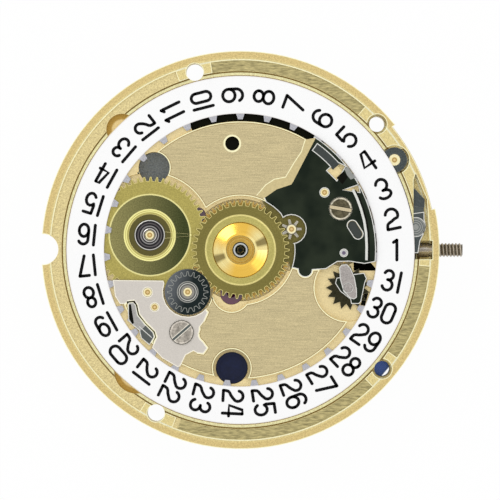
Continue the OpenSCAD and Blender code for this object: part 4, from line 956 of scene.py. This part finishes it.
# Hub of the calendar driving wheel: steel rings round the brass pin
HUB_PROFILE = [(0.31, -0.238), (0.33, -0.226), (0.40, -0.226), (0.43, -0.236), (0.52, -0.236),
               (0.55, -0.22), (0.62, -0.22), (0.66, -0.234), (0.80, -0.234), (0.84, -0.224),
               (0.93, -0.224), (0.99, -0.236), (0.99, -0.25), (0.31, -0.25)]
lathe("driving_wheel_rings", DRIVER, HUB_PROFILE, "hub", "calendar_drive")


# Cut edges: ribbons of painted highlight along the outlines of the flat parts


def outline_loops(node, z):
    """Outlines, in millimetres, of a node's upward faces at a height, with the metal on their left."""
    mesh = frame["nodes"][node].data
    spots = [tuple(round(c / MM, 3) for c in v.co) for v in mesh.vertices]
    edges = set()
    for poly in mesh.polygons:
        corners = [spots[i] for i in poly.vertices]
        if poly.normal.z < 0.99 or any(abs(c[2] - z) > 0.004 for c in corners):
            continue
        for a, b in zip(corners, corners[1:] + corners[:1]):
            if (b[:2], a[:2]) in edges:
                edges.remove((b[:2], a[:2]))
            elif a[:2] != b[:2]:
                edges.add((a[:2], b[:2]))
    follow = dict(sorted(edges))
    loops = []
    while follow:
        start, spot = next(iter(follow.items()))
        del follow[start]
        loop = [start]
        while spot in follow:
            loop.append(spot)
            spot = follow.pop(spot)
        if spot != start:
            loop.append(spot)
        if len(loop) > 2:
            loops.append((loop, spot == start))
    return loops


def left_normal(a, b):
    """The unit vector to the left of the way from a to b."""
    dx, dy = b[0] - a[0], b[1] - a[1]
    size = math.hypot(dx, dy) or 1.0
    return -dy / size, dx / size


# Keeps the corners of a band from running out into long points
MITRE_LIMIT = 0.45


def ribbon(bm, loop, near, far, z, closed=True):
    """A flat band beside a line, from near to far millimetres on its left."""
    count = len(loop)
    rows = []
    for i, p in enumerate(loop):
        before = loop[i - 1] if closed or i else p
        after = loop[(i + 1) % count] if closed or i + 1 < count else p
        n0 = left_normal(before, p) if before != p else left_normal(p, after)
        n1 = left_normal(p, after) if after != p else n0
        k = 1 / max(MITRE_LIMIT, 1 + n0[0] * n1[0] + n0[1] * n1[1])
        shift = ((n0[0] + n1[0]) * k, (n0[1] + n1[1]) * k)
        rows.append([bm.verts.new((p[0] + shift[0] * d, p[1] + shift[1] * d, z)) for d in (near, far)])
    for i in range(count if closed else count - 1):
        a, b = rows[i], rows[(i + 1) % count]
        bm.faces.new((a[0], b[0], b[1], a[1]))


# Thickness of lines and facets, and how far they stand over the face below them
LINE_T = 0.008
LIFT = 0.002


def edge_lines(name, node, z, body, material, width, near=0.0):
    """A line along every outline of a node's faces at a height, near millimetres in from the edge."""
    bm = bmesh.new()
    for loop, closed in outline_loops(node, z):
        ribbon(bm, loop, near, near + width, z + LIFT, closed)
    thicken(bm, LINE_T)
    add_mesh(name, bm, material, body)


def strip(name, points, width, z, material):
    """A flat line of the given width along points, fixed to the movement."""
    bm = bmesh.new()
    ribbon(bm, points, -width / 2, width / 2, z, False)
    thicken(bm, LINE_T)
    add_mesh(name, bm, material, "movement_frame")


# Painted highlights along the cut edges; the brown line beside the platform's edge is painted shadow.
edge_lines("platform_edge", "main_plate", Z_PLATFORM, "movement_frame", "cream_line", 0.07)
edge_lines("platform_edge_shadow", "main_plate", Z_PLATFORM, "movement_frame", "brown_line", 0.035, 0.07)
edge_lines("flange_edge", "main_plate", 0.0, "movement_frame", "cream_line", 0.05)
edge_lines("date_plate_edge", "date_plate", Z_PLATFORM, "movement_frame", "pale_line", 0.055)
edge_lines("date_bridge_edge", "date_bridge", Z_PLATFORM, "movement_frame", "ivory_line", 0.06)
edge_lines("intermediate_wheel_edge", "intermediate_date_wheel", Z_INTER, "calendar_intermediate", "dim_line",
           0.03)
edge_lines("date_jumper_edge", "date_jumper", Z_JUMPER, "movement_frame", "pale_line", 0.05)
edge_lines("corrector_cover_edge", "corrector_cover", Z_COVER, "movement_frame", "pale_line", 0.05)
edge_lines("corrector_lever_edge", "corrector_lever", Z_PLATFORM, "corrector_arm", "pale_line", 0.05)
edge_lines("setting_lever_edge", "setting_lever", Z_LEVER, "lever", "pale_line", 0.05)
edge_lines("hour_wheel_edge", "hour_wheel", Z_HOUR, "hour_hand_wheel", "olive_line", 0.03)
edge_lines("driving_wheel_edge", "date_driving_wheel", Z_DRIVER, "calendar_drive", "olive_line", 0.03)

# A painted highlight along the fold of the polished plate beside the ring, with a painted shadow line beside
# it
FOLD = [(7.34, 3.95), (7.62, 3.36), (7.86, 2.70), (8.07, 1.95), (8.2, 1.13), (8.24, 0.3), (8.23, -0.67)]
FOLD_SHADOW = [(7.5, 3.9), (7.78, 3.36), (8.02, 2.70), (8.23, 1.95), (8.36, 1.13), (8.4, 0.3), (8.39, -0.67)]
strip("plate_fold", FOLD, 0.16, Z_PLATFORM + 0.003, "pale_line")
strip("plate_fold_shadow", FOLD_SHADOW, 0.09, Z_PLATFORM + 0.0035, "black_line")


def facet(name, points, z, material, body="movement_frame"):
    """A flat reflection or recess floor."""
    bm = bmesh.new()
    sheet(bm, [points], z)
    thicken(bm, LINE_T)
    add_mesh(name, bm, material, body)


def disc_points(centre, radius):
    """The corners of a disc with 36 sides."""
    return bow(*centre, radius, radius, 0, 350, 35)


def ring_profile(inner, outer, low, high):
    """The section of a flat ring."""
    return [(inner, high), (outer, high), (outer, low), (inner, low)]


# The wide bevel of the platform beside the polished plate
BEVEL_CREST = [(4.23, 7.21), (3.98, 6.42), (3.48, 5.67), (2.94, 4.76), (2.23, 4.63), (1.65, 4.26),
               (1.05, 3.56)]
BEVEL_FOOT = [(1.56, 3.4), (2.36, 3.96), (3.32, 4.28), (3.46, 4.5), (4.92, 7.33)]
facet("platform_bevel", BEVEL_CREST + BEVEL_FOOT, Z_PLATFORM + 0.004, "bevel_gold")
# A painted highlight along the bevel's crest.
strip("bevel_crest", BEVEL_CREST, 0.06, Z_PLATFORM + 0.006, "cream_line")

# Painted shade: dark floors in the long and the small window of the polished plate
Z_FACE = Z_PLATFORM + 0.0015
LONG_WINDOW = bow(*CENTRE, 8.58, 8.58, 41, 54.5, 8) + bow(*CENTRE, 8.0, 8.0, 54.5, 41, 8)
SMALL_WINDOW = bow(7.675, 1.045, 0.29, 0.29, -147, 33, 8) + bow(7.305, 1.615, 0.29, 0.29, 33, 213, 8)
facet("long_window", LONG_WINDOW, Z_FACE, "window_floor_shade")
facet("small_window", SMALL_WINDOW, Z_COVER + 0.004, "window_floor_shade")

# The facets at the corner of the polished plate beside the ring: painted shade in a black window, and a grey
# facet
Z_CORNER = Z_FACE + 0.001
BLACK_WINDOW = [(6.28, 4.72), (6.72, 5.14), (7.02, 4.78), (6.66, 4.28)]
GREY_BLOCK = [(6.78, 5.28), (7.02, 5.44), (7.5, 4.72), (7.2, 4.6), (6.98, 4.86)]
facet("black_window", BLACK_WINDOW, Z_CORNER, "black_line")
facet("grey_block", GREY_BLOCK, Z_CORNER, "grey_facet")

# Shadows deep in the channel of the stem and beside the corrector
Z_CHANNEL = -2.972
Z_GAP = -0.655
facet("channel_floor", [(7.4, -1.34), (8.9, -1.34), (8.9, 1.34), (7.4, 1.34)], Z_CHANNEL, "black_line")
facet("corrector_gap", [(8.13, -2.66), (8.36, -2.84), (8.13, -3.65), (7.85, -3.58)], Z_GAP, "black_line")

# The leaf of the corrector covers its pin
facet("corrector_pin_cap", disc_points(STAR, 0.3), Z_PLATFORM + LIFT, "blade", "corrector_arm")

# A black disc of painted shade in the platform's upper hole, with a pale ring of painted highlight for its
# countersink
PLATE_HOLE = (-0.54, 6.96)
HOLE_R = 0.47
Z_HOLE_SHADE = -0.5
facet("plate_hole_shade", disc_points(PLATE_HOLE, HOLE_R), Z_HOLE_SHADE, "black_line")
lathe("plate_hole_ring", PLATE_HOLE, ring_profile(HOLE_R, 0.58, Z_PLATFORM - 0.01, Z_PLATFORM + 0.003),
      "cream_line", "movement_frame")

# Turned rings on the setting lever's pivot
LEVER_PIVOT = (11.46, 1.5)
Z_PIVOT = Z_LEVER + 0.043
facet("lever_pivot_face", disc_points(LEVER_PIVOT, 0.57), Z_PIVOT, "grey_facet", "lever")
for i, r in enumerate((0.2, 0.34, 0.47)):
    lathe(f"lever_pivot_ring_{i}", LEVER_PIVOT, ring_profile(r, r + 0.05, Z_PIVOT - 0.002, Z_PIVOT + 0.003),
          "dark_facet", "lever")

# Painted shade: a dark sheet between the yoke and the setting lever
Z_LEVER_GAP = Z_LEVER - 0.24
facet("lever_gap", [(11.05, 2.3), (12.0, 2.36), (12.0, 2.95), (11.05, 2.95)], Z_LEVER_GAP, "dark_facet")

# Painted light and shade on the jumper's arm: a black strip, a foot in painted shade and a painted highlight
# line between them
Z_ARM = Z_JUMPER + LIFT
JUMPER_DARK_STRIP = [(-7.3, -3.56), (-7.16, -3.54), (-6.96, -4.78), (-7.08, -4.84), (-7.28, -4.5)]
JUMPER_FOOT = [(-6.56, -5.3), (-6.2, -4.94), (-5.74, -5.42), (-5.68, -5.68), (-5.95, -6.14), (-6.44, -5.74)]
facet("jumper_dark_strip", JUMPER_DARK_STRIP, Z_ARM, "black_line")
facet("jumper_foot", JUMPER_FOOT, Z_ARM, "shadow")
strip("jumper_highlight", [(-6.62, -5.0), (-6.25, -5.32), (-5.8, -5.72)], 0.05, Z_ARM + LIFT, "pale_line")


# Slots of the two screws

Z_SLOT = Z_PLATFORM + 0.141


def slot(name, centre, angle, length, width, fill, line):
    """The floor of a screw's slot, with a line along each side."""
    a = math.radians(angle)
    along = Vector((math.cos(a), math.sin(a)))
    across = Vector((-math.sin(a), math.cos(a)))
    mid = Vector(centre)
    ends = [mid - along * length / 2, mid + along * length / 2]
    strip(name, [tuple(e) for e in ends], width, Z_SLOT, fill)
    for i, side in enumerate((-1, 1)):
        shift = across * side * width / 2
        strip(f"{name}_edge_{i}", [tuple(e + shift) for e in ends], 0.04, Z_SLOT + 0.001, line)


# The plate screw's slot: black lines of painted shadow along its sides.
slot("plate_screw_slot", DATE_SCREW, -10, 1.42, 0.26, "slot_beige", "black_line")
# The bridge screw's slot: a floor of painted shade, with painted highlights along its sides.
slot("bridge_screw_slot", BRIDGE_SCREW, 41, 1.46, 0.2, "dark_facet", "ivory_line")


# Stage: pale floor, soft lamps, camera


def stage_floor():
    """A wide white floor that shows almost pure white and still takes faint shadows."""
    half, gap = 600.0, 0.02
    shown = 0.97
    z = cad_low[2] / MM - gap
    bm = bmesh.new()
    corners = ((-half, -half), (half, -half), (half, half), (-half, half))
    bm.faces.new([bm.verts.new((x, y, z)) for x, y in corners])
    bmesh.ops.scale(bm, vec=(MM, MM, MM), verts=bm.verts)
    mesh = bpy.data.meshes.new("floor")
    bm.to_mesh(mesh)
    bm.free()
    floor = bpy.data.objects.new("floor", mesh)
    bpy.context.scene.collection.objects.link(floor)
    n = Nodes("floor_white")
    n.bsdf.inputs["Base Color"].default_value = (0.92, 0.92, 0.92, 1)
    n.bsdf.inputs["Roughness"].default_value = 0.9
    rays = n.new("ShaderNodeLightPath").outputs
    glow = n.new("ShaderNodeEmission")
    glow.inputs["Strength"].default_value = 1.0
    mixer = n.new("ShaderNodeMixShader")
    seen = n.math("MAXIMUM", rays["Is Glossy Ray"], rays["Is Transmission Ray"])
    seen = n.math("MAXIMUM", rays["Is Camera Ray"], seen)
    n.link(n.times(seen, shown), mixer.inputs[0])
    n.link(n.bsdf.outputs[0], mixer.inputs[1])
    n.link(glow.outputs[0], mixer.inputs[2])
    n.link(mixer.outputs[0], n.tree.nodes["Material Output"].inputs["Surface"])
    mesh.materials.append(n.mat)


def lamp(name, place, size, power):
    """A soft round lamp that looks at the origin."""
    light = bpy.data.lights.new(name, "AREA")
    light.shape = "DISK"
    light.size = size
    light.energy = power
    obj = bpy.data.objects.new(name, light)
    obj.location = place
    obj.rotation_euler = (-Vector(place)).to_track_quat("-Z", "Y").to_euler()
    bpy.context.scene.collection.objects.link(obj)


def world():
    """Soft light from all sides, brighter overhead than at the horizon, on a white background."""
    w = bpy.data.worlds.new("studio")
    bpy.context.scene.world = w
    w.use_nodes = True
    tree = w.node_tree
    background = tree.nodes["Background"]
    coord = tree.nodes.new("ShaderNodeTexCoord")
    split = tree.nodes.new("ShaderNodeSeparateXYZ")
    tree.links.new(coord.outputs["Generated"], split.inputs[0])
    background.inputs["Color"].default_value = (1, 1, 1, 1)
    ramp = tree.nodes.new("ShaderNodeMapRange")
    # The strength follows the direction's height from the first to the second value of each pair
    up, strength = (0.1, 0.9), (0.5, 0.98)
    for value, socket in zip(up + strength, list(ramp.inputs)[1:5]):
        socket.default_value = value
    tree.links.new(split.outputs["Z"], ramp.inputs[0])
    rays = tree.nodes.new("ShaderNodeLightPath").outputs
    pick = tree.nodes.new("ShaderNodeMix")
    tree.links.new(rays["Is Camera Ray"], pick.inputs["Factor"])
    tree.links.new(ramp.outputs[0], pick.inputs["A"])
    pick.inputs["B"].default_value = 1.0
    tree.links.new(pick.outputs["Result"], background.inputs["Strength"])


def camera():
    """Straight above, with the photograph's frame of 500 px at 15.31 px per mm."""
    px_per_mm = 15.31
    centre_px = (240.5, 250.0)
    frame_px = 500
    away = 0.45
    sensor = 36
    metres_per_px = MM / px_per_mm
    cam = bpy.data.cameras.new("camera")
    cam.sensor_width = sensor
    cam.lens = sensor * away / (frame_px * metres_per_px)
    cam.clip_start = 0.01
    obj = bpy.data.objects.new("camera", cam)
    x, y = frame_px / 2 - centre_px[0], centre_px[1] - frame_px / 2
    obj.location = (x * metres_per_px, y * metres_per_px, away)
    bpy.context.scene.collection.objects.link(obj)
    bpy.context.scene.camera = obj


stage_floor()
world()
lamp("key", (-0.14, 0.18, 0.26), 0.16, 0.22)
lamp("fill", (0.2, -0.1, 0.22), 0.2, 0.06)
camera()

scene = bpy.context.scene
scene.view_settings.view_transform = "Standard"
